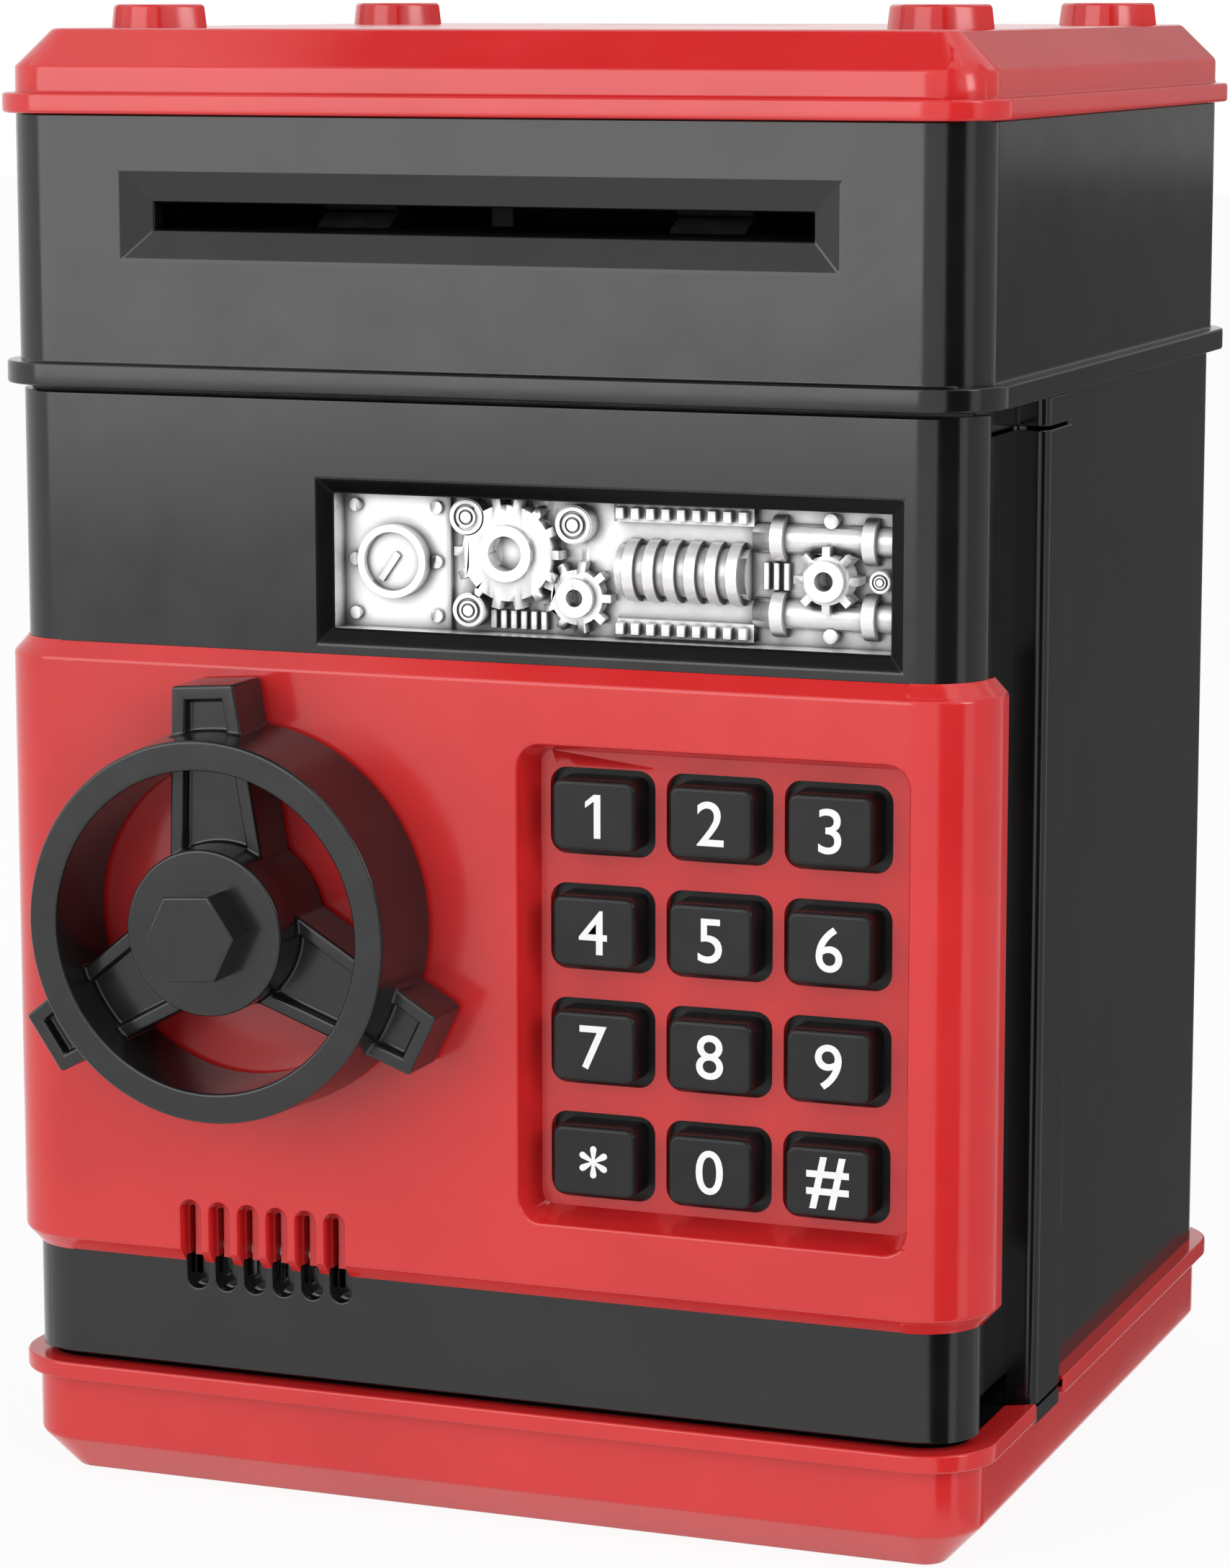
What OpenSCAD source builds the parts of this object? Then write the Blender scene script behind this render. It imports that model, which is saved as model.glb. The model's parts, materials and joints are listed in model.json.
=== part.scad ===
// A toy cash machine that keeps coins and notes: case, hinged door, handwheel, keypad, note feeder.
// Lengths are millimetres. The origin is the middle of the base's underside, +Z up, the front faces -Y.

/* [Case] */
// Width of the case across its sides
case_w = 128.9; // [116:0.1:150]
// Depth of the case from the door's front to the back
case_d = 119.4; // [110:0.1:140]
// Radius of the case's upright corners
corner_r = 7.7; // [6:0.1:10]
// Wall of the moulded shells
wall = 2.2; // [1.8:0.1:2.8]
// How far base, head and lid stand out past the case's sides
collar = 0.5; // [0:0.1:1.5]
// How far the rims stand out
rim_out = 1.7; // [0.6:0.1:2.5]
// Height of the base tray
base_h = 16.05; // [15.6:0.05:16.6]
// Height of the chamfered foot
foot_h = 5.2; // [3.5:0.1:6]
// How far foot and lid chamfers draw in
chamfer_in = 4.9; // [3:0.1:5.2]
// Height of the case above the base
case_h = 127.85; // [127:0.05:136]
// Height of the head housing above the case
head_h = 34.2; // [33.6:0.1:40]
// Height of the upright wall of the lid
lid_wall = 5.8; // [4.5:0.1:8]
// Height of the lid's chamfer
lid_chamfer = 4.75; // [3.5:0.05:6]
// Height of a lid boss
boss_h = 2.95; // [1.5:0.05:5]
// Side of a lid boss's hexagon
boss_side = 6.85; // [5:0.05:8]

/* [Door] */
// Depth of the door shell's return
door_return = 7.4; // [6.6:0.1:7.4]
// Gap round the closed door
door_gap = 0.5; // [0.4:0.05:0.8]
// Gap between the base and the door's lower edge
door_lift = 0.95; // [0.6:0.05:1.5]
// Thickness of the red panel over the door
panel_t = 2.0; // [1.4:0.1:2.4]
// Lower edge of the red panel
panel_z = 31.1; // [29:0.1:33]
// Height of the red panel
panel_h = 80.2; // [76:0.1:80.6]
// Radius of the hinge barrel
barrel_r = 6.0; // [5.4:0.1:6.1]
// Diameter of the hinge rod
rod_d = 3.0; // [2:0.1:3.4]
// Running clearance of shafts in their bores
run = 0.05; // [0.03:0.01:0.08]

/* [Window] */
// Width of the relief window
window_w = 76.8; // [60:0.1:78]
// Height of the relief window
window_h = 20.7; // [16:0.1:21.5]
// Slope of the window's bezel
bezel = 1.85; // [1:0.05:2.2]

/* [Handwheel] */
// Height of the handwheel's axis above the panel's lower edge
wheel_up = 46.65; // [44:0.05:48]
// Radius of the ring at its front
ring_r = 24.2; // [21.5:0.1:24.6]
// Width of the ring's face
ring_w = 3.8; // [2.5:0.1:5]
// Depth of the ring and hub
ring_depth = 13.2; // [10:0.1:15]
// Radius of the hub
hub_r = 10.55; // [9:0.05:12]
// Reach of the three arms
arm_reach = 30.4; // [28.5:0.1:31]
// Depth of the sunk faces of the arms
sunk = 1.4; // [0.6:0.1:2]
// Height of the hub bolt's head
bolt_h = 4.3; // [3:0.1:6]
// Radius over the corners of the bolt's head
bolt_r = 6.15; // [5:0.05:7]
// Diameter of the wheel shaft
shaft_d = 6.0; // [5:0.1:6.4]

/* [Keypad] */
// Width of a key
key_w = 11.0; // [9:0.1:11.6]
// Height of a key
key_h = 8.9; // [7:0.1:9.4]
// Pitch between key columns
key_dx = 15.37; // [14.6:0.01:15.6]
// Pitch between key rows
key_dz = 14.58; // [13.6:0.01:14.8]
// Opening round a key beyond its edges
key_gap = 1.45; // [1:0.05:1.5]
// How far a key stands above the keypad's floor
key_stand = 3.5; // [2:0.1:4.2]
// Travel of a key
key_travel = 1.3; // [0.6:0.1:1.4]
// Depth of the keypad's recess
pad_depth = 5.0; // [4.6:0.1:5]

/* [Note feeder] */
// Width of the funnel round the note slot
funnel_w = 95.1; // [90:0.1:100]
// Height of the funnel round the note slot
funnel_h = 10.9; // [9:0.1:12]
// Height of the slot itself
slot_h = 3.35; // [2.4:0.05:3.6]
// Radius of the feed rollers
feed_r = 7.0; // [6.5:0.1:7.1]
// Module of the feed gears
gear_m = 0.7; // [0.66:0.01:0.7]
// Width of a roller
roller_w = 10; // [6:0.5:12]

/* [Slots and screws] */
// Pitch of the speaker slots
vent_dx = 4.05; // [3.7:0.05:4.2]
// Width of a speaker slot
vent_w = 2.87; // [2:0.05:3.1]
// Diameter of the case screws
screw_d = 3.0; // [2.4:0.1:3.2]
// Diameter of the battery cells
cell_d = 14.5; // [13.5:0.1:14.6]

/* [Hidden] */
$fn = 48;

red = [0.80, 0.22, 0.22];
dark = [0.16, 0.16, 0.17];
black = [0.07, 0.07, 0.08];
silver = [0.75, 0.76, 0.78];
steel = [0.55, 0.56, 0.58];
brass = [0.78, 0.62, 0.30];
green = [0.10, 0.38, 0.22];
rubber = [0.25, 0.25, 0.26];

// levels
case_top = base_h + case_h;
head_top = case_top + head_h;
belt_h = 2.9;
lid_rim = 2.55;
lid_top = head_top + lid_wall + lid_chamfer;
hx = case_w / 2;
hy = case_d / 2;
fx = hx + collar;
ix = hx - wall;
iy = hy - wall;
front = -hy;
clear = 0.2;
trim_h = 2.35;

// door
door_back = front + door_return;
body_front = door_back + door_gap;
door_z0 = base_h + door_lift;
door_z1 = case_top - 0.7;
door_in = front + wall;
panel_front = front - panel_t;
panel_z1 = panel_z + panel_h;
pad_w = 50.9;
pad_x0 = hx - 6.95 - pad_w;
pad_h = 60.7;
pad_z0 = panel_z + (panel_h - pad_h) / 2 + 0.15;
pad_floor = panel_front + pad_depth;
pad_back = pad_floor + 1.4;
pad_slope = 1.4;
pad_cx = pad_x0 + pad_w / 2 - 0.48;
pad_cz = pad_z0 + pad_h / 2 - 0.38;
key_front = pad_floor - key_stand;

// window
win_cx = hx - 47.05;
win_cz = panel_z1 + 11.65;
bezel_t = 1.2;
tray_front = front + bezel_t + 0.2;
tray_floor = tray_front + 4.3;

// hinge
hinge_x = hx - 4.25;
hinge_y = front + 31.7;
rod_r = rod_d / 2;
strip_x = hx + 1.75;
knuckle_lo = base_h - 3.05;
barrel_z0 = base_h - 0.65;
barrel_z1 = case_top - 4.1;
knuckle_hi = barrel_z1 + 0.4;
jamb_y = hinge_y + 9.2;
leaf_t = 2.0;

// handwheel
wx = -hx + 34.63;
wz = panel_z + wheel_up;
ring_back = panel_front - 0.5;
ring_front = ring_back - ring_depth;
arm_front = ring_front + 5;
shaft_r = shaft_d / 2;
shaft_end = ring_front + 2.4;

// screws
screw_r = screw_d / 2;
head_r = 2.9;
head_t = 2.0;
screw_l = 12;
post_x = ix - 9.25;
post_y = iy - 11.5;

// note path
slot_z = head_top - 12.7;
slot_w = funnel_w - 7.9;
funnel_d = 2.0;
guide_front = front + 4.3;
guide_x = fx - 17.95;
roller_x = guide_x - 23;
gear_x = guide_x + 3;
bracket_xs = [17 - guide_x, guide_x - 17];
guide_t = 1.4;
lower_z = slot_z - 1.8;
upper_z = slot_z + 1.8;
plate_t = 1.5;
floor_z = case_top + wall;
feed_y = -36;
feed_z = slot_z - 0.1 - feed_r;
pinch_r = 5;
pinch_z = slot_z + 0.1 + pinch_r;
feed_n = 30;
small_n = 12;
big_n = 36;
pin_n = 12;
mesh1 = gear_m * (feed_n + small_n) / 2 + 0.02;
mesh2 = gear_m * (big_n + pin_n) / 2 + 0.02;
mesh1_a = 10;
mesh2_a = 74.4;
idler_y = feed_y + mesh1 * cos(mesh1_a);
idler_z = feed_z + mesh1 * sin(mesh1_a);
motor_y = idler_y + mesh2 * cos(mesh2_a);
motor_z = idler_z + mesh2 * sin(mesh2_a);

// flat shapes
module plate2(a0, a1, b0, b1, r) {
  if (r <= 0) translate([a0, b0]) square([a1 - a0, b1 - b0]);
  else union() {
    translate([a0 + r, b0]) square([a1 - a0 - 2 * r, b1 - b0]);
    translate([a0, b0 + r]) square([a1 - a0, b1 - b0 - 2 * r]);
    for (a = [a0 + r, a1 - r]) for (b = [b0 + r, b1 - r]) translate([a, b]) circle(r);
  }
}
// blocks along each axis
module zbox(x0, x1, y0, y1, z0, z1, r = 0)
  translate([0, 0, z0]) linear_extrude(z1 - z0) plate2(x0, x1, y0, y1, r);
module ybox(x0, x1, z0, z1, y0, y1, r = 0)
  translate([0, y1, 0]) rotate([90, 0, 0]) linear_extrude(y1 - y0) plate2(x0, x1, z0, z1, r);
module xbox(y0, y1, z0, z1, x0, x1, r = 0)
  translate([x0, 0, 0]) rotate([90, 0, 90]) linear_extrude(x1 - x0) plate2(y0, y1, z0, z1, r);
module xcyl(y, z, x0, x1, r) translate([x0, y, z]) rotate([0, 90, 0]) cylinder(h = x1 - x0, r = r);
module ycyl(x, z, y0, y1, r) translate([x, y1, z]) rotate([90, 0, 0]) cylinder(h = y1 - y0, r = r);
module zcyl(x, y, z0, z1, r) translate([x, y, z0]) cylinder(h = z1 - z0, r = r);
module along_x(x0, x1) translate([x0, 0, 0]) rotate([90, 0, 90]) linear_extrude(x1 - x0) children();
module along_y(y0, y1) translate([0, y1, 0]) rotate([90, 0, 0]) linear_extrude(y1 - y0) children();
// a block that draws in by i over its height h, round corners r
module taper(a0, a1, b0, b1, r, i, h) {
  for (a = [a0 + r, a1 - r]) for (b = [b0 + r, b1 - r])
    translate([a, b, 0]) cylinder(r1 = r, r2 = r - i, h = h);
  translate([a0 + r, 0, 0]) rotate([90, 0, 90]) linear_extrude(a1 - a0 - 2 * r)
    polygon([[b0, 0], [b1, 0], [b1 - i, h], [b0 + i, h]]);
  translate([0, b1 - r, 0]) rotate([90, 0, 0]) linear_extrude(b1 - b0 - 2 * r)
    polygon([[a0, 0], [a1, 0], [a1 - i, h], [a0 + i, h]]);
}
// the same with sharp corners
module frustum(a0, a1, b0, b1, i, h) intersection() {
  translate([a0, 0, 0]) rotate([90, 0, 90]) linear_extrude(a1 - a0)
    polygon([[b0, 0], [b1, 0], [b1 - i, h], [b0 + i, h]]);
  translate([0, b1, 0]) rotate([90, 0, 0]) linear_extrude(b1 - b0)
    polygon([[a0, 0], [a1, 0], [a1 - i, h], [a0 + i, h]]);
}
// lays a flat drawing on an upright plane at y, its height going inwards
module inward(y) translate([0, y, 0]) mirror([0, 1, 0]) rotate([90, 0, 0]) children();
module below(z) translate([0, 0, z]) mirror([0, 0, 1]) children();
module corners(x, y) for (a = [-x, x]) for (b = [-y, y]) translate([a, b, 0]) children();

module screw(l = screw_l) {
  cylinder(r = screw_r, h = l);
  difference() {
    below(0) cylinder(r = head_r, h = head_t);
    below(-1.1) linear_extrude(head_t) union() {
      translate([-1.7, -0.4]) square([3.4, 0.8]);
      translate([-0.4, -1.7]) square([0.8, 3.4]);
    }
  }
}
module small_screw(l = 5) {
  cylinder(r = 1.0, h = l);
  difference() {
    below(0) cylinder(r = 1.9, h = 1.3);
    below(-0.7) translate([-1.2, -0.3, 0]) cube([2.4, 0.6, 2]);
  }
}

// base tray with battery bay
cell_l = 50.5;
bay_x = cell_l / 2 + 3.75;
bay_y = 1.5 * cell_d + 1.25;
bay_wall = 1.6;
bay_top = base_h + 2.25;
pad_lo = 3.6;
cover_x = bay_x + 5;
cover_y = bay_y + 4;
cover_z0 = 0;
cover_z1 = 1.8;
tab_x = cover_x + 6;
module base() color(red) difference() {
  union() {
    below(foot_h) taper(-fx, fx, -hy, hy, corner_r, chamfer_in, foot_h);
    zbox(-fx, fx, -hy, hy, foot_h, base_h, corner_r);
    zbox(-fx - rim_out, fx + rim_out, -hy - rim_out, hy + rim_out, base_h - trim_h, base_h,
      corner_r + rim_out);
    // roof of the battery bay, up through the body's floor
    zbox(-bay_x - bay_wall, bay_x + bay_wall, -bay_y - bay_wall, bay_y + bay_wall, base_h - 0.1, bay_top);
  }
  difference() {
    union() {
      below(foot_h) taper(-fx + wall, fx - wall, -iy, iy, corner_r - wall,
        chamfer_in * (foot_h - 2) / foot_h, foot_h - 2);
      zbox(-fx + wall, fx - wall, -iy, iy, foot_h, base_h + 1, corner_r - wall);
    }
    zbox(-bay_x - bay_wall, bay_x + bay_wall, -bay_y - bay_wall, bay_y + bay_wall, 0, bay_top + 1);
    zbox(-cover_x - 4, tab_x + 2, -cover_y - 2, cover_y + 2, 0, pad_lo);
    zcyl(tab_x - 3.5, 0, 0, 12, 3.5);
    corners(post_x, post_y) cylinder(r = 4, h = base_h - 2.05);
  }
  zbox(-bay_x, bay_x, -bay_y, bay_y, -1, bay_top - 1.3);
  zbox(-cover_x - 0.3, cover_x + 0.3, -cover_y - 0.3, cover_y + 0.3, -1, cover_z1, 2);
  zbox(0, tab_x + 0.3, -6.3, 6.3, -1, cover_z1, 2);
  for (s = [-1, 1]) zbox(-cover_x - 2.3, -cover_x, s * 16 - 4.3, s * 16 + 4.3, 0.6, 1.9);
  zcyl(tab_x - 3.5, 0, -1, 9, 1.05);
  corners(post_x, post_y) {
    translate([0, 0, -1]) cylinder(r = head_r + 0.2, h = 10);
    cylinder(r = screw_r + 0.2, h = 20);
  }
  // room for the hinge's lower knuckle and barrel
  zbox(hinge_x + 2.2, fx + rim_out + 1, hinge_y - barrel_r - 0.4, hinge_y + 6.5, knuckle_lo - 0.1, base_h + 1);
  zcyl(hinge_x, hinge_y, barrel_z0 - 0.3, base_h + 1, 8.7);
}
module battery_cover() color(red) difference() {
  union() {
    zbox(-cover_x, cover_x, -cover_y, cover_y, cover_z0, cover_z1, 2);
    zbox(0, tab_x, -6, 6, cover_z0, cover_z1, 2);
    for (s = [-1, 1]) zbox(-cover_x - 2, -cover_x + 3, s * 16 - 4, s * 16 + 4, cover_z0 + 0.7, cover_z1);
  }
  zcyl(tab_x - 3.5, 0, -1, 5, 1.15);
  zcyl(tab_x - 3.5, 0, -1, cover_z0 + 0.8, 2.1);
  for (k = [-2 : 2]) zbox(-cover_x + 4 + 0 * k, -cover_x + 10, 2.4 * k - 0.5, 2.4 * k + 0.5, -1, cover_z0 + 0.4);
}
module battery_screw() color(steel) translate([tab_x - 3.5, 0, cover_z0 + 0.8]) difference() {
  union() {
    cylinder(r = 1.0, h = 6.5);
    below(0) cylinder(r = 1.9, h = 0.7);
  }
  below(-0.1) translate([-1.2, -0.3, 0]) cube([2.4, 0.6, 2]);
}
cell_z = cover_z1 + 0.1 + cell_d / 2;
module battery_cells() color(green) for (k = [-1 : 1]) translate([0, k * (cell_d + 0.4), 0])
  mirror([k == 0 ? 1 : 0, 0, 0]) {
    xcyl(0, cell_z, -cell_l / 2, cell_l / 2 - 1, cell_d / 2);
    xcyl(0, cell_z, cell_l / 2 - 1.5, cell_l / 2, 2.75);
  }
module battery_contacts() color(brass) for (s = [0, 1]) mirror([s, 0, 0]) for (k = [-1 : 1])
  translate([0, k * (cell_d + 0.4) + 4, 0]) rotate([90, 0, 0]) linear_extrude(8) union() {
    translate([bay_x - 0.4, cell_z - 6]) square([0.4, 12]);
    polygon([[bay_x - 0.3, cell_z - 5], [bay_x - 0.3, cell_z - 4.3], [cell_l / 2 + 0.45, cell_z],
      [bay_x - 0.3, cell_z + 4.3], [bay_x - 0.3, cell_z + 5], [cell_l / 2 + 0.02, cell_z]]);
  }

// hinge profile, seen from above: barrel, flat strip, rounded nose
module hinge_profile() {
  translate([hinge_x, hinge_y]) circle(barrel_r);
  nose_x = strip_x - 1.5;
  translate([nose_x, hinge_y - 4.3]) circle(1.5);
  translate([strip_x - 0.8, hinge_y + 5.2]) circle(0.8);
  translate([hinge_x + 2, hinge_y - 4.3]) square([strip_x - hinge_x - 2, 9.5]);
  translate([hinge_x + 2, hinge_y - 5.8]) square([nose_x - hinge_x - 2, 2]);
  translate([hinge_x + 2, hinge_y + 4]) square([strip_x - 0.8 - hinge_x - 2, 2]);
}
module base_screw_holes() corners(post_x, post_y) children();

head_x = guide_x - 7;
head_y = body_front + 16.8;
module head_screw_places() {
  for (s = [-1, 1]) translate([s * head_x, head_y, 0]) children();
  for (s = [-1, 1]) translate([s * post_x, post_y, 0]) children();
}
coin_y = 22;
note_y0 = -19;
note_y1 = 6;
note_x = 46;
jamb_x = ix - 5.2;
pocket_x = ix - 10.2;
module body_shell() color(dark) difference() {
  union() {
    // walls
    difference() {
      zbox(-hx, hx, -hy, hy, base_h, case_top, corner_r);
      zbox(-ix, ix, -iy, iy, base_h - 1, case_top - wall, corner_r - wall);
      translate([-hx - 1, -hy - 1, 0]) cube([case_w + 2, body_front + hy + 1, case_top + 1]);
      translate([pocket_x, -hy - 1, 0]) cube([hx, jamb_y + hy + 1, case_top - wall]);
      translate([ix - 0.05, -hy - 1, 0]) cube([hx, jamb_y + hy + 1, case_top + 1]);
    }
    // floor inside the tray's rim
    zbox(-fx + wall + clear, fx - wall - clear, -iy + clear, iy - clear, base_h - 2.05, base_h,
      corner_r - wall);
    difference() {
      union() {
        zbox(-ix - 0.3, ix + 0.3, -iy - 0.3, iy + 0.3, base_h, base_h + 2.15, corner_r - wall + 0.3);
        zbox(-ix, ix, -iy + clear, iy - clear, base_h - 1, base_h + 1, corner_r - wall);
      }
      zbox(-ix + wall, ix - wall, -iy + wall, iy - wall, 0, base_h + 3, corner_r - 2 * wall);
      translate([-hx, -hy - 1, 0]) cube([case_w, body_front + hy + 1, case_top]);
      translate([pocket_x, -hy, 0]) cube([hx, jamb_y + hy, case_top]);
    }
    // left jamb, sill, right jamb
    zbox(-ix - 0.3, -jamb_x, body_front, body_front + wall, base_h - 1, case_top - 1);
    zbox(-jamb_x - 1, pocket_x, body_front, body_front + wall, base_h - 1, base_h + 3.2);
    zbox(pocket_x, ix + 0.05, jamb_y, jamb_y + wall, base_h - 1, case_top - 1);
    zbox(pocket_x, ix - 0.1, jamb_y, jamb_y + 4, base_h - 3, base_h);
    // wall that parts the vault from the hinge's pocket
    zbox(pocket_x - wall, pocket_x + 0.01, box_back + 1, jamb_y + wall, base_h - 1, case_top - 1);
    // pad over the hinge, and the two knuckles
    zbox(pocket_x, ix - 0.05, body_front + 0.9, jamb_y + 0.1, knuckle_hi, case_top);
    translate([0, 0, knuckle_hi]) linear_extrude(case_top - knuckle_hi) hinge_profile();
    translate([0, 0, knuckle_lo]) linear_extrude(barrel_z0 - 0.3 - knuckle_lo) hinge_profile();
    zcyl(hinge_x, hinge_y, base_h - 8, base_h - 2, 2.3);
    corners(post_x, post_y) translate([0, 0, base_h - 2.05]) cylinder(r = 3.5, h = 9);
  }
  zcyl(hinge_x, hinge_y, barrel_z0 - 0.3, base_h + 1, 8.7);
  zcyl(hinge_x, hinge_y, base_h - 7.5, case_top + 1, rod_r + 0.02);
  corners(post_x, post_y) translate([0, 0, base_h - 3]) cylinder(r = screw_r + run, h = 9);
  zbox(-bay_x - bay_wall - 0.4, bay_x + bay_wall + 0.4, -bay_y - bay_wall - 0.4, bay_y + bay_wall + 0.4,
    0, base_h + 0.5);
  head_screw_places() translate([0, 0, case_top - 6]) cylinder(r = screw_r + 0.2, h = 8);
  zbox(-note_x, note_x, note_y0, note_y1, case_top - 4, case_top + 1, 2);
  zbox(-17, 17, coin_y - 4, coin_y + 4, case_top - 4, case_top + 1);
}

lid_x = fx - 7.6;
lid_y = hy - 8.1;
lid_seat = case_top + 5.1;
lid_post = lid_seat + 6;
module head_housing() color(dark) difference() {
  union() {
    difference() {
      union() {
        zbox(-fx, fx, -hy, hy, case_top, head_top, corner_r);
        zbox(-fx - rim_out, fx + rim_out, -hy - rim_out, hy + rim_out, case_top, case_top + belt_h,
          corner_r + rim_out);
      }
      zbox(-fx + wall, fx - wall, -iy, iy, floor_z, head_top + 1, corner_r - wall);
    }
    ybox(-slot_w / 2 - 6, slot_w / 2 + 6, slot_z - 8, slot_z + 8, -iy - 0.1, guide_front - 0.1);
    corners(lid_x, lid_y) translate([0, 0, case_top]) cylinder(r = 4, h = lid_post - case_top);
    head_screw_places() translate([0, 0, case_top]) cylinder(r = 3.5, h = 11);
  }
  inward(front - 0.001) frustum(-funnel_w / 2, funnel_w / 2, slot_z - funnel_h / 2,
    slot_z + funnel_h / 2, (funnel_w - slot_w) / 2, funnel_d);
  ybox(-slot_w / 2, slot_w / 2, slot_z - slot_h / 2, slot_z + slot_h / 2, front, guide_front + 1);
  corners(lid_x, lid_y) {
    translate([0, 0, case_top - 1]) cylinder(r = head_r + 0.2, h = lid_seat - case_top + 1);
    translate([0, 0, case_top]) cylinder(r = screw_r + 0.2, h = 20);
  }
  head_screw_places() translate([0, 0, case_top - 1]) cylinder(r = screw_r + run, h = 11.5);
  zbox(-note_x, note_x, note_y0, note_y1, case_top - 1, floor_z + 1, 2);
  zbox(-16.3, 16.3, coin_y - 3.8, coin_y + 3.8, case_top - 1, floor_z + 1);
  for (x = bracket_xs) for (y = bracket_ys) zcyl(x, y, case_top + 0.3, floor_z + 1, 1.05);
}
boss_x = fx - 12.15;
boss_y = [-hy + 22.7, hy - 19.2];
// six-sided boss that narrows upwards, a flat facing the front
module lid_boss() {
  a0 = boss_side * cos(30) + 0.02;
  a1 = boss_side * cos(30) - 0.33;
  module slab() along_x(-20, 20) polygon([[-a0, -0.2], [a0, -0.2], [a1, boss_h], [-a1, boss_h]]);
  intersection() {
    slab();
    rotate(60) slab();
    rotate(120) slab();
  }
}
module top_cover() color(red) difference() {
  union() {
    difference() {
      union() {
        zbox(-fx, fx, -hy, hy, head_top, head_top + lid_wall, corner_r);
        zbox(-fx - rim_out, fx + rim_out, -hy - rim_out, hy + rim_out, head_top, head_top + lid_rim,
          corner_r + rim_out);
        translate([0, 0, head_top + lid_wall])
          taper(-fx, fx, -hy, hy, corner_r, chamfer_in, lid_chamfer);
        for (x = [-boss_x, boss_x]) for (y = boss_y) translate([x, y, lid_top]) lid_boss();
      }
      zbox(-fx + wall, fx - wall, -iy, iy, head_top - 1, head_top + lid_wall, corner_r - wall);
      translate([0, 0, head_top + lid_wall]) taper(-fx + wall, fx - wall, -iy, iy, corner_r - wall,
        chamfer_in * (lid_chamfer - wall) / lid_chamfer, lid_chamfer - wall);
    }
    corners(lid_x, lid_y) translate([0, 0, lid_post])
      cylinder(r = 3.5, h = lid_top - wall + 0.5 - lid_post);
  }
  corners(lid_x, lid_y) translate([0, 0, lid_post - 1]) cylinder(r = screw_r + run, h = 8);
  zbox(-14, 14, coin_y - 1.6, coin_y + 1.6, lid_top - 5, lid_top + 1);
  translate([0, 0, lid_top + 0.001]) below(0) frustum(-15.5, 15.5, coin_y - 3.1, coin_y + 3.1, 1.5, 1.5);
}
module shell_screws() color(steel) {
  corners(post_x, post_y) translate([0, 0, 9]) screw();
  head_screw_places() translate([0, 0, case_top - wall]) screw();
  corners(lid_x, lid_y) translate([0, 0, lid_seat]) screw();
}
module coin_chute() color(dark) difference() {
  union() {
    zbox(-16, 16, coin_y - 3.5, coin_y + 3.5, case_top - wall, lid_top - wall - 0.25);
    zbox(-19, 19, coin_y - 7, coin_y + 7, floor_z, floor_z + 1.5, 2);
  }
  zbox(-14.4, 14.4, coin_y - 1.8, coin_y + 1.8, case_top - 4, lid_top);
}

// note feeder
bracket_y0 = feed_y - 10;
bracket_y1 = feed_y + 16;
bracket_ys = [feed_y - 7.5, feed_y + 12];
plate_top = pinch_z + 6;
module guide_tabs(z, t, g) for (s = [-1, 1]) for (y = [feed_y - 7, feed_y + 9.5])
  translate([s * (guide_x + plate_t / 2), y, z + t / 2])
    cube([plate_t + 0.6 + 2 * g, 4 + 2 * g, t + 2 * g], center = true);
module feed_bracket() color(steel) difference() {
  union() {
    zbox(-guide_x - plate_t, guide_x + plate_t, bracket_y0, bracket_y1, floor_z, floor_z + plate_t);
    xbox(bracket_y0, bracket_y1, floor_z, plate_top, -guide_x - plate_t, -guide_x);
    xbox(bracket_y0, bracket_y1, floor_z, plate_top, guide_x, guide_x + plate_t);
    xbox(bracket_y1 - 8, motor_y + 11, idler_z - 8, motor_z + 8, guide_x, guide_x + plate_t);
  }
  head_screw_places() translate([0, 0, floor_z - 1]) cylinder(r = 4, h = 5);
  for (x = bracket_xs) for (y = bracket_ys) zcyl(x, y, floor_z - 1, floor_z + 3, 1.15);
  xcyl(feed_y, feed_z, -60, 60, 2 + run);
  xcyl(feed_y, pinch_z, -60, 60, 1.5 + run);
  xcyl(idler_y, idler_z, 30, 60, 1.5 + 0.02);
  xcyl(motor_y, motor_z, 30, 60, 3 + 0.02);
  guide_tabs(lower_z - guide_t, guide_t, 0.1);
  guide_tabs(upper_z, guide_t, 0.1);
}
module bracket_screws() color(steel) for (x = bracket_xs) for (y = bracket_ys)
  translate([x, y, floor_z + plate_t]) below(0) small_screw(3.2);
module roller_windows(z, r) for (s = [-1, 1])
  zbox(s * roller_x - roller_w / 2 - 1, s * roller_x + roller_w / 2 + 1, feed_y - r, feed_y + r, z - 1, z + 4);
module lower_note_guide() color(black) difference() {
  union() {
    zbox(-guide_x, guide_x, guide_front, feed_y + 11.5, lower_z - guide_t, lower_z);
    guide_tabs(lower_z - guide_t, guide_t, 0);
    for (x = [3 - guide_x, 0, guide_x - 3]) xbox(guide_front, feed_y + 11.5, lower_z - guide_t - 1.5, lower_z - guide_t,
      x - 0.6, x + 0.6);
  }
  roller_windows(lower_z - guide_t, feed_r);
}
lever_y = feed_y - 12;
lever_z = upper_z + 4.8;
lever_r = 7.6;
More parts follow.
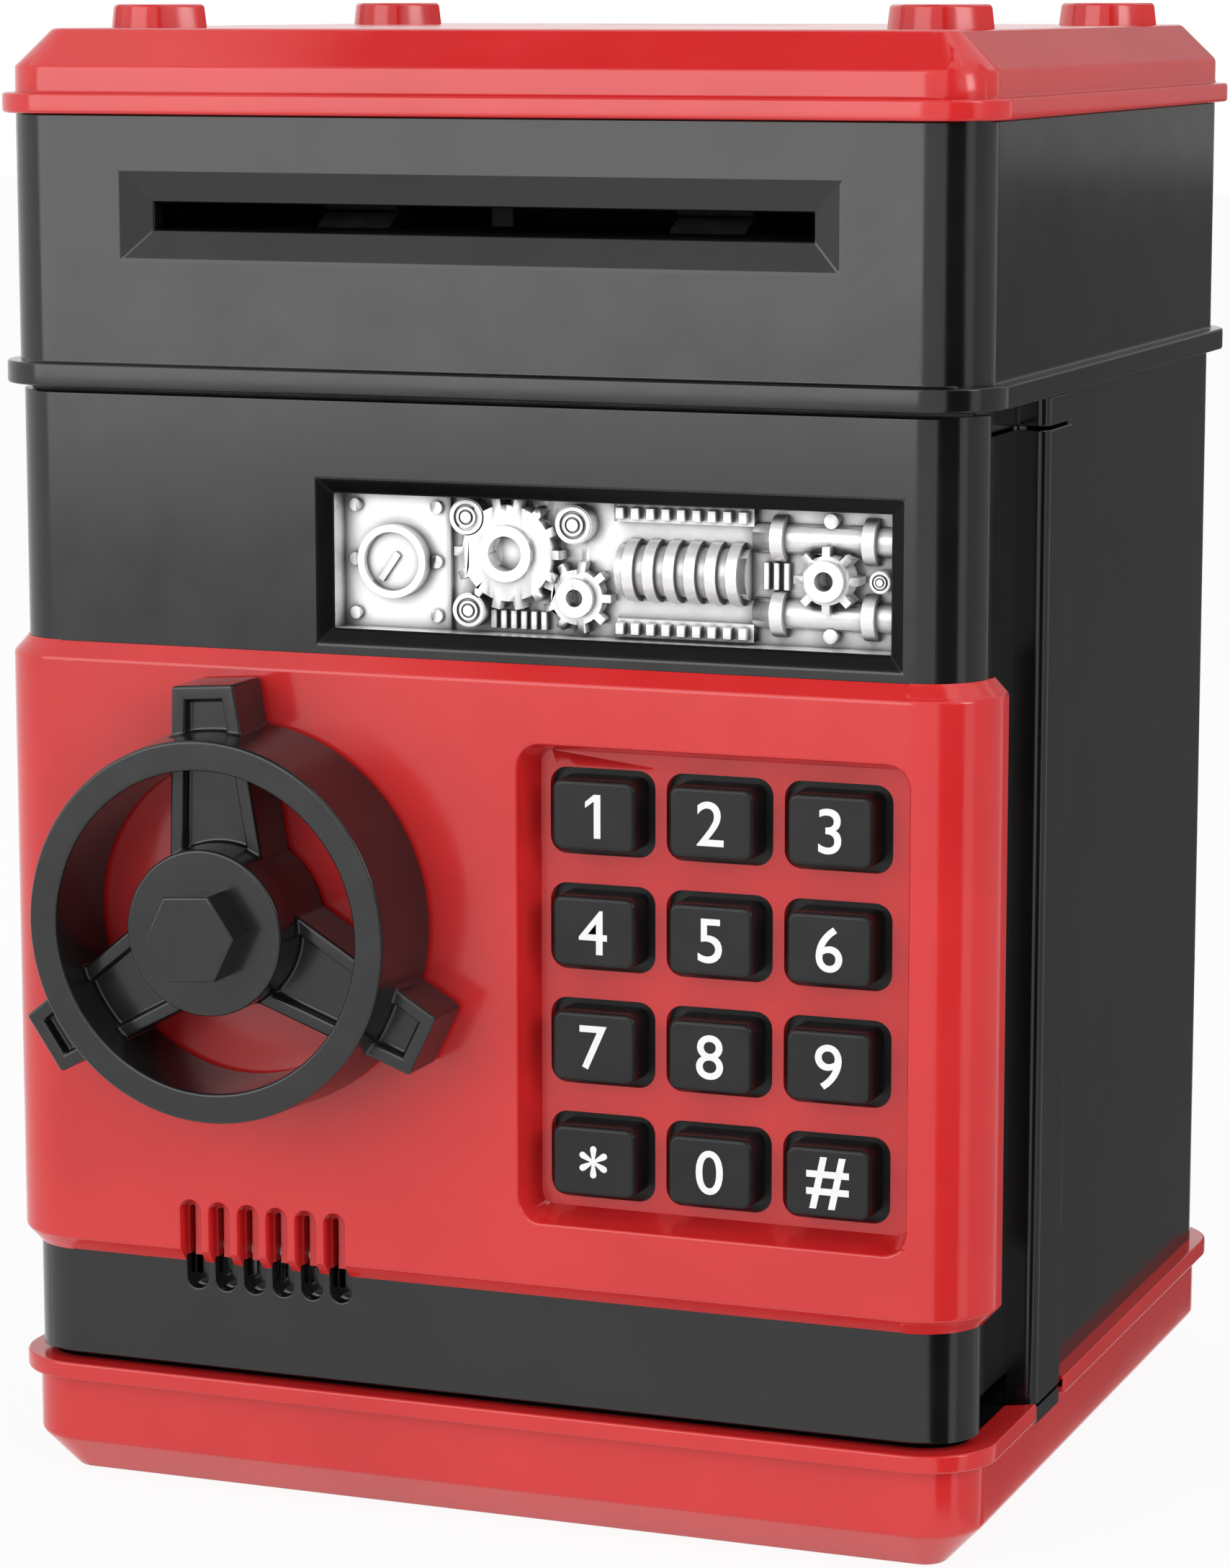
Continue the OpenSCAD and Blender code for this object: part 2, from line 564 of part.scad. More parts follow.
module upper_note_guide() color(black) difference() {
  union() {
    zbox(-guide_x, guide_x, guide_front, feed_y + 12, upper_z, upper_z + guide_t);
    along_x(-guide_x, guide_x) polygon([[feed_y + 12, upper_z], [feed_y + 16, upper_z - 4],
      [feed_y + 17, upper_z - 3], [feed_y + 12.6, upper_z + guide_t], [feed_y + 12, upper_z + guide_t]]);
    guide_tabs(upper_z, guide_t, 0);
    for (s = [-1, 1]) translate([s * 3, 0, 0])
      xbox(lever_y - 2.4, lever_y + 2.4, upper_z, lever_z + 2.2, -0.75, 0.75);
  }
  roller_windows(upper_z, pinch_r);
  zbox(-1.9, 1.9, lever_y - 2.6, lever_y + 6, upper_z - 1, upper_z + guide_t + 1);
  xcyl(lever_y, lever_z, -6, 6, 1 + run);
}
module note_lever() color(black) {
  xcyl(lever_y, lever_z, -3.9, 3.9, 1);
  xcyl(lever_y, lever_z, -1.4, 1.4, 2);
  xbox(lever_y - 1, lever_y + 1, lever_z - lever_r, lever_z, -1.4, 1.4);
  xbox(lever_y - 0.8, lever_y + 0.8, lever_z, lever_z + 4.5, -1.4, 1.4);
}
module feed_shaft() color(steel) {
  xcyl(feed_y, feed_z, -gear_x - 0.2, gear_x + 3.2, 2);
  xcyl(feed_y, feed_z, -gear_x - 0.2, -guide_x - plate_t - 0.2, 3);
}
module feed_rollers() color(rubber) for (s = [-1, 1]) difference() {
  xcyl(feed_y, feed_z, s * roller_x - roller_w / 2, s * roller_x + roller_w / 2, feed_r);
  xcyl(feed_y, feed_z, -60, 60, 2.01);
}
module pinch_shaft() color(steel) {
  xcyl(feed_y, pinch_z, 0.4 - gear_x, gear_x - 0.4, 1.5);
  for (s = [-1, 1]) translate([s * (guide_x + plate_t + 0.7), 0, 0]) xcyl(feed_y, pinch_z, -0.5, 0.5, 2.4);
}
module pinch_rollers() color(rubber) for (s = [-1, 1]) difference() {
  xcyl(feed_y, pinch_z, s * roller_x - roller_w / 2, s * roller_x + roller_w / 2, pinch_r);
  xcyl(feed_y, pinch_z, -60, 60, 1.51);
}
// involute gear, n teeth of module m, a tooth along +X
function inv(a) = tan(a) * 180 / PI - a;
function tooth_half(n, m, r) = let (rb = m * n * cos(20) / 2, q = max(r, rb + 0.0001))
  (m * PI / 4 - 0.04) / (m * n / 2) * 180 / PI + inv(20) - inv(acos(rb / q));
function gear_points(n, m) = let (ra = m * (n / 2 + 1), rf = m * (n / 2 - 1.25), rb = m * n * cos(20) / 2,
  r1 = max(rf, rb))
  [for (i = [0 : n - 1]) for (p = [[rf, -tooth_half(n, m, r1) - 1.0], [r1 + 0.001, -tooth_half(n, m, r1)],
    [(r1 + ra) / 2, -tooth_half(n, m, (r1 + ra) / 2)], [ra, -tooth_half(n, m, ra)],
    [ra, tooth_half(n, m, ra)], [(r1 + ra) / 2, tooth_half(n, m, (r1 + ra) / 2)],
    [r1 + 0.001, tooth_half(n, m, r1)], [rf, tooth_half(n, m, r1) + 1.0]])
    [p[0] * cos(i * 360 / n + p[1]), p[0] * sin(i * 360 / n + p[1])]];
module gear(n, m, bore, y, z, x0, x1, turn) translate([x0, y, z]) rotate([90, 0, 90])
  linear_extrude(x1 - x0) difference() {
    rotate(turn) polygon(gear_points(n, m));
    circle(bore);
  }
half1 = 180 / small_n;
half2 = 180 / pin_n;
module feed_gear() color(brass) gear(feed_n, gear_m, 2.01, feed_y, feed_z, gear_x, gear_x + 3, mesh1_a);
module idler_gear() color(brass) {
  gear(small_n, gear_m, 1.5 + run, idler_y, idler_z, gear_x, gear_x + 3.5, mesh1_a + 180 + half1);
  gear(big_n, gear_m, 1.5 + run, idler_y, idler_z, gear_x + 3.5, gear_x + 6.5, mesh2_a);
  difference() {
    xcyl(idler_y, idler_z, guide_x + plate_t + 0.2, gear_x, 2.6);
    xcyl(idler_y, idler_z, guide_x, gear_x + 10, 1.5 + run);
  }
}
module idler_pin() color(steel) {
  xcyl(idler_y, idler_z, guide_x - 0.8, gear_x + 7.4, 1.5);
  xcyl(idler_y, idler_z, gear_x + 6.6, gear_x + 7.4, 2.4);
  xcyl(idler_y, idler_z, guide_x - 0.8, guide_x, 2.4);
}
module motor_pinion() color(brass)
  gear(pin_n, gear_m, 1.01, motor_y, motor_z, gear_x + 3.5, gear_x + 7, mesh2_a + 180 + half2);
module motor_shaft() color(steel) xcyl(motor_y, motor_z, guide_x - 9, gear_x + 7.3, 1);
module feed_motor() color(silver) difference() {
  union() {
    intersection() {
      xcyl(motor_y, motor_z, guide_x - 25, guide_x, 10);
      translate([0, motor_y - 12, motor_z - 7]) cube([guide_x, 24, 14]);
    }
    xcyl(motor_y, motor_z, guide_x - 0.1, guide_x + plate_t, 3);
    xcyl(motor_y, motor_z, guide_x - 27, guide_x - 24.9, 3);
  }
  xcyl(motor_y, motor_z, guide_x - 9.5, 60, 1 + run);
}
module hinge_rod() color(steel) zcyl(hinge_x, hinge_y, base_h - 7.4, case_top - 0.2, rod_r);

// door shell
door_inner_x = hx - wall;
cover_post_z = [door_z0 + 4.7, door_z1 - 4.9];
cover_post_x = [-ix + 9.25, 0, hx - 18.45];
board_x = [pad_x0 + 5.4, pad_x0 + pad_w - 7.5];
board_z = [pad_z0 - 5, pad_z0 + pad_h + 5.3];
leaf_x = hinge_x;
leaf_z0 = barrel_z0 + 4.1;
leaf_z1 = barrel_z1;
tab_zs = [[leaf_z0 + 5, leaf_z0 + 12], [leaf_z1 - 4.3, leaf_z1]];
post_end = door_back - 2;
vent_x = wx - 9.13;
vent_z0 = panel_z - 3.6;
vent_z1 = panel_z + 8.5;
panel_screw_x = [-hx + 9.45, pad_x0 - 4.6];
panel_screw_z = [panel_z + 6.9, panel_z1 - 7.3];
boss_back = front + 9.7;
module door_shape(o) intersection() {
  plate2(-hx - o, hx + o, -hy - o, hy + o, corner_r + o);
  translate([-hx - o - 1, -hy - o - 1]) square([case_w + 2 * o + 2, door_return + o + 1]);
}
module door_shell() color(dark) difference() {
  union() {
    difference() {
      translate([0, 0, door_z0]) linear_extrude(door_z1 - door_z0) door_shape(0);
      zbox(-ix, ix, -iy, 0, door_z0 + wall, door_z1 - wall, corner_r - wall);
    }
    ycyl(wx, wz, door_in - 0.1, boss_back, 7);
    for (x = board_x) for (z = board_z) ycyl(x, z, door_in - 0.1, board_front, 2.6);
    for (x = cover_post_x) for (z = cover_post_z) ycyl(x, z, door_in - 0.1, post_end, 2.6);
    for (s = [-1, 1]) ycyl(speaker_x + s * (speaker_r + 3.4), speaker_z, door_in - 0.1, speaker_back, 2.4);
    ybox(vent_x - 2.6, vent_last + 2.6, vent_z0 - 1.5, panel_z + 0.5, door_in - 0.1, front + vent_depth + 1);
    difference() {
      ycyl(speaker_x, speaker_z, door_in - 0.1, speaker_front, speaker_r + 0.4);
      ycyl(speaker_x, speaker_z, door_in - 1, speaker_front + 1, speaker_r - 1.6);
    }
  }
  // window with its bezel and the seat of the relief
  inward(front - 0.001) frustum(win_cx - window_w / 2, win_cx + window_w / 2, win_cz - window_h / 2,
    win_cz + window_h / 2, bezel, bezel_t);
  ybox(win_x0, win_x1, win_z0, win_z1, front, front + 5);
  ybox(win_x0 - 1.2, win_x1 + 1.2, win_z0 - 1.2, win_z1 + 1.2, front + bezel_t + 0.1, front + 5);
  // keypad pocket, wheel shaft, speaker slots
  ybox(pad_x0 - 1.7, pad_x0 + pad_w + 1.7, pad_z0 - 1.7, pad_z0 + pad_h + 1.7, front - 1, door_in + 0.8, 3);
  ycyl(wx, wz, -80, 0, shaft_r + run);
  vents(front);
  ybox(vent_x - 2.2, vent_last + 2.2, panel_z + 0.5, vent_z1 + 1.8, front - 1, speaker_front - 0.5);
  for (x = panel_screw_x) for (z = panel_screw_z) ycyl(x, z, front - 1, door_in + 1, 1.15);
  for (x = board_x) for (z = board_z) ycyl(x, z, board_front - 4.5, 0, 1.05);
  for (x = cover_post_x) for (z = cover_post_z) ycyl(x, z, door_in + 0.1, 0, 1.05);
  for (s = [-1, 1]) ycyl(speaker_x + s * (speaker_r + 3.4), speaker_z, door_in + 0.3, 0, 1.05);
  for (t = tab_zs) ycyl(leaf_x - 3.6, (t[0] + t[1]) / 2, door_in - 1.7, 0, 1.05);
}
// blind grooves, as deep in the panel as in the door, each with a narrow slit through its floor
vent_depth = 2.6;
vent_last = vent_x + 5 * vent_dx;
module vents(face) for (k = [0 : 5]) {
  x = vent_x + k * vent_dx;
  ybox(x - vent_w / 2, x + vent_w / 2, vent_z0, vent_z1, face - 1, face + vent_depth, vent_w / 2 - 0.01);
  ybox(x - vent_w / 2 + 0.15, x - vent_w / 2 + 0.95, vent_z0 + 1.2, vent_z1 - 1.2, face, door_in + 3, 0.35);
}
module door_panel() color(red) difference() {
  union() {
    translate([0, 0, panel_z + panel_t]) linear_extrude(panel_h - 2 * panel_t) panel_flat(panel_t);
    panel_bevel(panel_z, 1);
    panel_bevel(panel_z1, -1);
    // keypad pocket's walls and floor
    ybox(pad_x0 - 1.5, pad_x0 + pad_w + 1.5, pad_z0 - 1.5, pad_z0 + pad_h + 1.5, front - 0.1, pad_back, 2.8);
    ybox(vent_x - 2.0, vent_last + 2.0, panel_z + 0.7, vent_z1 + 1.6, front - 0.1, door_in - 0.1);
  }
  inward(panel_front - 0.001) taper(pad_x0, pad_x0 + pad_w, pad_z0, pad_z0 + pad_h, 3, pad_slope, pad_depth);
  key_places() ybox(-key_w / 2 - key_gap, key_w / 2 + key_gap, -key_h / 2 - key_gap + 0.45,
    key_h / 2 + key_gap - 0.45, -80, 0, 2.2);
  ycyl(wx, wz, -80, 0, shaft_r + 0.4);
  vents(panel_front);
  for (x = panel_screw_x) for (z = panel_screw_z) ycyl(x, z, front - 1.5, 0, 1.05);
}
module panel_flat(o) difference() {
  intersection() {
    plate2(-hx - o, hx + o, -hy - o, hy + o, corner_r + o);
    union() {
      translate([-hx - o - 1, -hy - o - 1]) square([case_w, door_return + o + 1]);
      translate([0, -hy - o - 1]) square([hx + o + 1, door_return + o + 3]);
    }
  }
  plate2(-hx, hx, -hy, hy, corner_r);
}
// chamfered edge: cones round the corners, sloped prisms along the straights
module panel_bevel(z, s) translate([0, 0, z]) mirror([0, 0, s < 0 ? 1 : 0]) difference() {
  intersection() {
    union() {
      for (a = [-1, 1]) translate([a * (hx - corner_r), -hy + corner_r, 0])
        cylinder(r1 = corner_r, r2 = corner_r + panel_t, h = panel_t);
      along_x(-hx + corner_r, hx - corner_r)
        polygon([[-hy, 0], [-hy + 20, 0], [-hy + 20, panel_t], [-hy - panel_t, panel_t]]);
      along_y(-hy + corner_r, hy)
        polygon([[-hx, 0], [hx, 0], [hx + panel_t, panel_t], [-hx - panel_t, panel_t]]);
    }
    linear_extrude(panel_t) union() {
      translate([-hx - 5, -hy - 5]) square([case_w, door_return + 5]);
      translate([0, -hy - 5]) square([hx + 10, door_return + 7]);
    }
  }
  translate([0, 0, -1]) linear_extrude(panel_t + 2) plate2(-hx, hx, -hy, hy, corner_r);
}

win_x0 = win_cx - window_w / 2 + bezel;
win_x1 = win_cx + window_w / 2 - bezel;
win_z0 = win_cz - window_h / 2 + bezel;
win_z1 = win_cz + window_h / 2 - bezel;
// machine relief: rises from the tray's floor
module cog(x, z, r, n, h, hole) translate([x, tray_floor + 0.1, z]) rotate([90, 0, 0]) difference() {
  union() {
    cylinder(r = r, h = h);
    for (k = [0 : n - 1]) rotate(k * 360 / n) translate([r - 0.6, -r * 1.3 / n, 0]) cube([1.7, r * 2.6 / n, h]);
    cylinder(r = hole + 1.3, h = h + 0.9);
  }
  translate([0, 0, 1]) cylinder(r = hole, h = 9);
}
module stud(x, z, r, h) ycyl(x, z, tray_floor - h, tray_floor + 0.1, r);
module hexnut(x, z, r, h) translate([x, tray_floor + 0.1, z]) rotate([90, 0, 0]) difference() {
  cylinder(r = r, h = h, $fn = 6);
  translate([0, 0, 1]) cylinder(r = r * 0.45, h = 9);
}
module relief_plate() color(silver) {
  difference() {
    union() {
      ybox(win_x0 - 1, win_x1 + 1, win_z0 - 1, win_z1 + 1, tray_front, tray_floor + 1);
      ybox(win_x0 - 2.7, win_x1 + 2.7, win_z0 - 3, win_z1 + 3, door_in, door_in + 1);
    }
    ybox(win_x0, win_x1, win_z0, win_z1, tray_front - 1, tray_floor);
  }
  // left: riveted plate with a dial
  ybox(win_x0 - 0.1, win_x0 + 14.4, win_z0 - 0.1, win_z1 + 0.1, tray_floor - 0.9, tray_floor + 0.1);
  for (x = [win_x0 + 1.7, win_x0 + 12.7]) for (z = [win_z0 + 1.7, win_cz, win_z1 - 1.7]) stud(x, z, 0.8, 1.6);
  difference() {
    ycyl(win_x0 + 7.2, win_cz, tray_floor - 3, tray_floor + 0.1, 4.6);
    ycyl(win_x0 + 7.2, win_cz, tray_floor - 4, tray_floor - 2, 3.7);
  }
  translate([win_x0 + 7.2, 0, win_cz]) rotate([0, 35, 0]) ybox(-0.4, 0.4, -2.9, 1.2, tray_floor - 2.5, tray_floor);
  // cog train
  cog(win_x0 + 22.6, win_cz + 1.6, 6.0, 14, 2.6, 2.2);
  cog(win_x0 + 31.6, win_cz - 3.6, 3.4, 9, 2.0, 1.1);
  hexnut(win_x0 + 17.2, win_z1 - 2.6, 2.1, 2.2);
  hexnut(win_x0 + 31.4, win_z1 - 2.9, 2.3, 2.4);
  // ribbed cylinder lying across
  difference() {
    union() {
      xcyl(tray_floor, win_cz, win_x0 + 37, win_x0 + 54, 3.2);
      for (k = [0 : 5]) xcyl(tray_floor, win_cz, win_x0 + 38.2 + 2.7 * k, win_x0 + 39.6 + 2.7 * k, 3.9);
    }
    ybox(win_x0 + 30, win_x0 + 60, win_z0 - 2, win_z1 + 2, tray_floor + 0.4, tray_floor + 9);
  }
  for (s = [-1, 1]) ybox(win_x0 + 36.4, win_x0 + 54.6, win_cz + s * 7.1 - 1.1, win_cz + s * 7.1 + 1.1,
    tray_floor - 1.4, tray_floor + 0.1);
  // pipes with flanges
  for (z = [win_cz - 4.6, win_cz + 4.6]) difference() {
    union() {
      xcyl(tray_floor, z, win_x0 + 54.5, win_x1 + 0.1, 1.9);
      xcyl(tray_floor, z, win_x0 + 57, win_x0 + 58.6, 2.9);
      xcyl(tray_floor, z, win_x1 - 4.4, win_x1 - 2.8, 2.9);
    }
    ybox(win_x0 + 50, win_x1 + 3, win_z0 - 2, win_z1 + 2, tray_floor + 0.4, tray_floor + 9);
  }
  cog(win_x0 + 64.4, win_cz, 3.0, 8, 3.4, 1.2);
  for (z = [win_z0 + 1.5, win_z1 - 1.5]) stud(win_x0 + 64.4, z, 0.9, 1.4);
}

// inside the door
box_back = door_back + 12.3;
box_x0 = -ix + 8.25;
box_x1 = hinge_x - 0.3;
box_z0 = door_z0 + 7;
box_z1 = door_z1 - 7.2;
slot_r = 31.2;
arm_y0 = box_back - 7.6;
arm_y1 = arm_y0 + 2.5;
module door_cover() color(dark) difference() {
  union() {
    ybox(-ix + 0.65, box_x1, door_z0 + wall + 0.3, door_z1 - wall - 0.3, post_end, door_back);
    ybox(box_x0, box_x1, box_z0, box_z1, post_end, box_back);
  }
  ybox(box_x0 + 2, box_x1 - 2, box_z0 + 2, box_z1 - 2, post_end - 1, box_back - 2);
  // way out for the latch arm
  ybox(box_x0 - 1, box_x0 + 3, wz - 5.7, wz + 22.8, arm_y0 - 1, arm_y1 + 1);
  for (x = cover_post_x) for (z = cover_post_z) ycyl(x, z, post_end - 1, door_back + 9, 1.15);
}
module door_screws() color(steel) {
  for (x = cover_post_x) for (z = cover_post_z) translate([x, door_back, z]) rotate([90, 0, 0]) small_screw(5);
  for (t = tab_zs) translate([leaf_x - 3.6, door_in + 1.6, (t[0] + t[1]) / 2]) rotate([90, 0, 0]) small_screw(3.1);
  for (s = [-1, 1]) translate([speaker_x + s * (speaker_r + 3.4), speaker_back + 1.2, speaker_z])
    rotate([90, 0, 0]) small_screw(3.6);
}
module door_hinge() color(dark) difference() {
  union() {
    translate([0, 0, barrel_z0]) linear_extrude(barrel_z1 - barrel_z0) hinge_profile();
    intersection() {
      union() {
        zbox(leaf_x, leaf_x + leaf_t, door_in + 0.02, hinge_y - 5, leaf_z0, leaf_z1);
        for (t = tab_zs) ybox(leaf_x - 6.2, leaf_x + 0.1, t[0], t[1], door_in + 0.02, door_in + 1.6);
      }
      zbox(-ix + 0.03, ix - 0.03, -iy + 0.01, iy, leaf_z0 - 1, leaf_z1 + 1, corner_r - wall - 0.02);
    }
  }
  zcyl(hinge_x, hinge_y, 0, case_top, rod_r + run);
  for (t = tab_zs) ycyl(leaf_x - 3.6, (t[0] + t[1]) / 2, door_in - 1, door_in + 3, 1.15);
}
board_front = pad_back + 3.5;
module keypad_board() color(green) difference() {
  ybox(pad_x0 - 1.6, pad_x0 + pad_w, pad_z0 - 7.5, pad_z0 + pad_h + 7.8, board_front, board_front + 1.6);
  for (x = board_x) for (z = board_z) ycyl(x, z, board_front - 1, board_front + 3, 1.15);
}
module keypad_membrane() color(rubber) {
  ybox(pad_x0 + 0.6, pad_x0 + pad_w - 1.4, pad_z0 + 1, pad_z0 + pad_h - 1.2, board_front - 1, board_front);
}
module keypad_screws() color(steel) for (x = board_x) for (z = board_z)
  translate([x, board_front + 1.6, z]) rotate([90, 0, 0]) small_screw(5);
module panel_screws() color(steel) for (x = panel_screw_x) for (z = panel_screw_z)
  translate([x, door_in, z]) rotate([90, 0, 0]) small_screw(3.4);
speaker_x = wx;
speaker_z = panel_z + 8.1;
speaker_r = 12;
speaker_front = front + 4.2;
speaker_back = speaker_front + 1;
module speaker() color(steel) {
  ycyl(speaker_x, speaker_z, speaker_front, speaker_back, speaker_r);
  translate([speaker_x, speaker_back + 3.6, speaker_z]) rotate([90, 0, 0]) cylinder(r1 = 7, r2 = 10, h = 3.6);
  ycyl(speaker_x, speaker_z, speaker_back + 3.5, speaker_back + 7, 6.5);
}
module speaker_clamp() color(black) difference() {
  union() {
    ybox(speaker_x - speaker_r - 6.4, speaker_x + speaker_r + 6.4, speaker_z - 4, speaker_z + 4,
      speaker_back, speaker_back + 1.2, 2);
    ycyl(speaker_x, speaker_z, speaker_back, speaker_back + 1.2, speaker_r + 0.8);
  }
  ycyl(speaker_x, speaker_z, speaker_back - 1, speaker_back + 3, 10.5);
  for (s = [-1, 1]) ycyl(speaker_x + s * (speaker_r + 3.4), speaker_z, speaker_back - 1, speaker_back + 3, 1.15);
}

// lock
coil_x0 = wx + 17.8;
coil_x1 = coil_x0 + 14;
coil_front = board_front + 2.2;
plunger_r = 2;
plunger_y = (arm_y0 + arm_y1) / 2;
cam_r = 9.5;
plunger_tip = wx + cam_r + 0.8;
module lock_coil() color(brass) difference() {
  ybox(coil_x0, coil_x1, wz - 7, wz + 7, coil_front, box_back - 2);
  xcyl(plunger_y, wz, coil_x0 - 1, coil_x1 - 2, plunger_r + run);
  ybox(coil_x0 + 1.5, coil_x1 - 1.5, wz - 8, wz - 5.5, coil_front - 1, box_back);
  ybox(coil_x0 + 1.5, coil_x1 - 1.5, wz + 5.5, wz + 8, coil_front - 1, box_back);
}
module lock_plunger() color(steel) {
  xcyl(plunger_y, wz, plunger_tip, coil_x1 - 3, plunger_r);
}
module on_wheel(y) translate([wx, y, wz]) rotate([90, 0, 0]) children();
module latch_arm() color(steel) on_wheel(arm_y1) difference() {
  linear_extrude(arm_y1 - arm_y0) difference() {
    union() {
      circle(cam_r);
      translate([-4, 0]) square([8, slot_r - 4.6]);
      translate([0, slot_r - 4.6]) circle(4);
    }
    for (a = [0, -90]) rotate(a) translate([cam_r - 3, -plunger_r - 0.3]) square([6, 2 * plunger_r + 0.6]);
  }
  translate([0, 0, -1]) cylinder(r = shaft_r + 0.01, h = 9);
}
module latch_screw() color(steel) translate([wx, arm_y1, wz]) rotate([90, 0, 0]) {
  cylinder(r = 1.5, h = 8);
  difference() {
    below(0) cylinder(r = 4.2, h = 1.9);
    below(-0.1) translate([-2.4, -0.4, 1]) cube([4.8, 0.8, 2]);
  }
}
module wheel_shaft() color(steel) difference() {
  union() {
    ycyl(wx, wz, shaft_end, arm_y1, shaft_r);
    ycyl(wx, wz, boss_back + 0.1, arm_y0, shaft_r + 1.5);
  }
  ycyl(wx, wz, arm_y1 - 8.5, 0, 1.52);
  ycyl(wx, wz, -90, shaft_end + 7, 1.52);
}
function arm_w(r) = 4.23 + 0.097 * (arm_reach - r);
module arm_outline(r0, r1, e) polygon([[r0, -arm_w(r0) + e], [r1, -arm_w(r1) + e],
  [r1, arm_w(r1) - e], [r0, arm_w(r0) - e]]);
module handwheel() color(dark) on_wheel(ring_back) difference() {
  union() {
    difference() {
      for (a = [94, 214, -26]) rotate(a) linear_extrude(ring_back - arm_front) arm_outline(6, arm_reach, 0);
      for (a = [94, 214, -26]) rotate(a) translate([0, 0, ring_back - arm_front - sunk])
        linear_extrude(sunk + 1) arm_outline(hub_r - 1, arm_reach - 1.9, 1.9);
    }
    difference() {
      cylinder(r1 = ring_r + 0.8, r2 = ring_r, h = ring_depth);
      translate([0, 0, -1]) cylinder(r = ring_r - ring_w, h = ring_depth + 2);
    }
    cylinder(r = hub_r, h = ring_depth);
  }
  translate([0, 0, -1]) cylinder(r = shaft_r + 0.01, h = ring_back - shaft_end + 1);
  cylinder(r = 1.7, h = ring_depth + 1);
}
module hub_bolt() color(dark) on_wheel(ring_front) {
  rotate(4) cylinder(r = bolt_r, h = bolt_h, $fn = 6);
  below(0) cylinder(r = 1.5, h = 8.5);
}

// keys
module key_at(c, r) translate([pad_cx + (c - 1) * key_dx, 0, pad_cz + (1.5 - r) * key_dz]) children();
module key_places() for (c = [0 : 2]) for (r = [0 : 3]) key_at(c, r) children();
module key_shape(c, r) color(black) key_at(c, r) {
  ybox(-key_w / 2, key_w / 2, -key_h / 2, key_h / 2, key_front, pad_back + 0.2, 1.3);
  ybox(-key_w / 2 - key_gap - 0.55, key_w / 2 + key_gap + 0.55, -key_h / 2 - key_gap - 0.1,
    key_h / 2 + key_gap + 0.1, pad_back + 0.1, pad_back + 1.1, 2);
}
module key_1() key_shape(0, 0);
module key_2() key_shape(1, 0);
module key_3() key_shape(2, 0);
module key_4() key_shape(0, 1);
module key_5() key_shape(1, 1);
module key_6() key_shape(2, 1);
module key_7() key_shape(0, 2);
module key_8() key_shape(1, 2);
module key_9() key_shape(2, 2);
module key_star() key_shape(0, 3);
module key_0() key_shape(1, 3);
module key_hash() key_shape(2, 3);

base();
body_shell();
head_housing();
top_cover();
battery_cover();
battery_screw();
battery_cells();
battery_contacts();
shell_screws();
coin_chute();
lower_note_guide();
upper_note_guide();
feed_bracket();
bracket_screws();
feed_motor();
idler_pin();
hinge_rod();
feed_shaft();
feed_rollers();
feed_gear();
pinch_shaft();
pinch_rollers();
idler_gear();
motor_shaft();
motor_pinion();
note_lever();
door_shell();
door_panel();
relief_plate();
door_cover();
door_hinge();
door_screws();
keypad_board();
keypad_membrane();
keypad_screws();
speaker();
speaker_clamp();
lock_coil();
panel_screws();
handwheel();
hub_bolt();
wheel_shaft();
latch_arm();
latch_screw();
lock_plunger();
key_1();
key_2();
key_3();
key_4();
key_5();
key_6();
key_7();
key_8();
key_9();
key_star();
key_0();
key_hash();
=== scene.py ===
# %% [markdown]
# # A toy cash machine that keeps coins and notes
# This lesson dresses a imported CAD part. The solids already have the true sizes, so nothing is
# scaled here. We round the edges that a moulding tool would round, model the keys, the figures
# and the wheel's bolt by hand, give every part a finish, and light it like a small product shot.
# Lengths are metres, +Z is up, and the bank looks towards -Y.

# %% Load the frame
import json
import math

import bmesh
import bpy
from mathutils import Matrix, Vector

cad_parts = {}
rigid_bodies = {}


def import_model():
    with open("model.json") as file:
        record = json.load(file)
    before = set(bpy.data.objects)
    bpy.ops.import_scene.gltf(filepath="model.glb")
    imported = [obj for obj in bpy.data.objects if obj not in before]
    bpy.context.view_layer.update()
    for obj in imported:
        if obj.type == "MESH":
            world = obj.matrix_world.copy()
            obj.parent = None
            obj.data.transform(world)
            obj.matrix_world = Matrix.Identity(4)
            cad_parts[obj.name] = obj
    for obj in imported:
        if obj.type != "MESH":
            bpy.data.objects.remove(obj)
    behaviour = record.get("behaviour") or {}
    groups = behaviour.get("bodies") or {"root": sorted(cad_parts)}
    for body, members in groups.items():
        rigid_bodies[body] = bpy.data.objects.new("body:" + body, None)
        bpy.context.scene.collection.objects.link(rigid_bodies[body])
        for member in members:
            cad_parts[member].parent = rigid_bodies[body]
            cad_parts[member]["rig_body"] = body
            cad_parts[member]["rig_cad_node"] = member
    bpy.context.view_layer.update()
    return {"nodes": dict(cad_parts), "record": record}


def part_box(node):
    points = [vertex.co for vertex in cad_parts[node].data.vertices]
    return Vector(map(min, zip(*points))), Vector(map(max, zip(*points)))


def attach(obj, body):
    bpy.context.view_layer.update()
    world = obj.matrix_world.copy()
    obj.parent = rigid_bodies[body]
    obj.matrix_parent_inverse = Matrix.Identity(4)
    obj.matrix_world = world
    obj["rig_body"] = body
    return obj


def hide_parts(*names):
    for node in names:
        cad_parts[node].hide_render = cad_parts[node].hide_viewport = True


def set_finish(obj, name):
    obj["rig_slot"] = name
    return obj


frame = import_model()
bpy.ops.object.select_all(action="DESELECT")
record = frame["record"]
body_of = {n: b for b, ns in record["behaviour"]["bodies"].items() for n in ns}
slot_of = {s["node"]: s["material_slot"] for s in record["subparts"]}
mm = 0.001

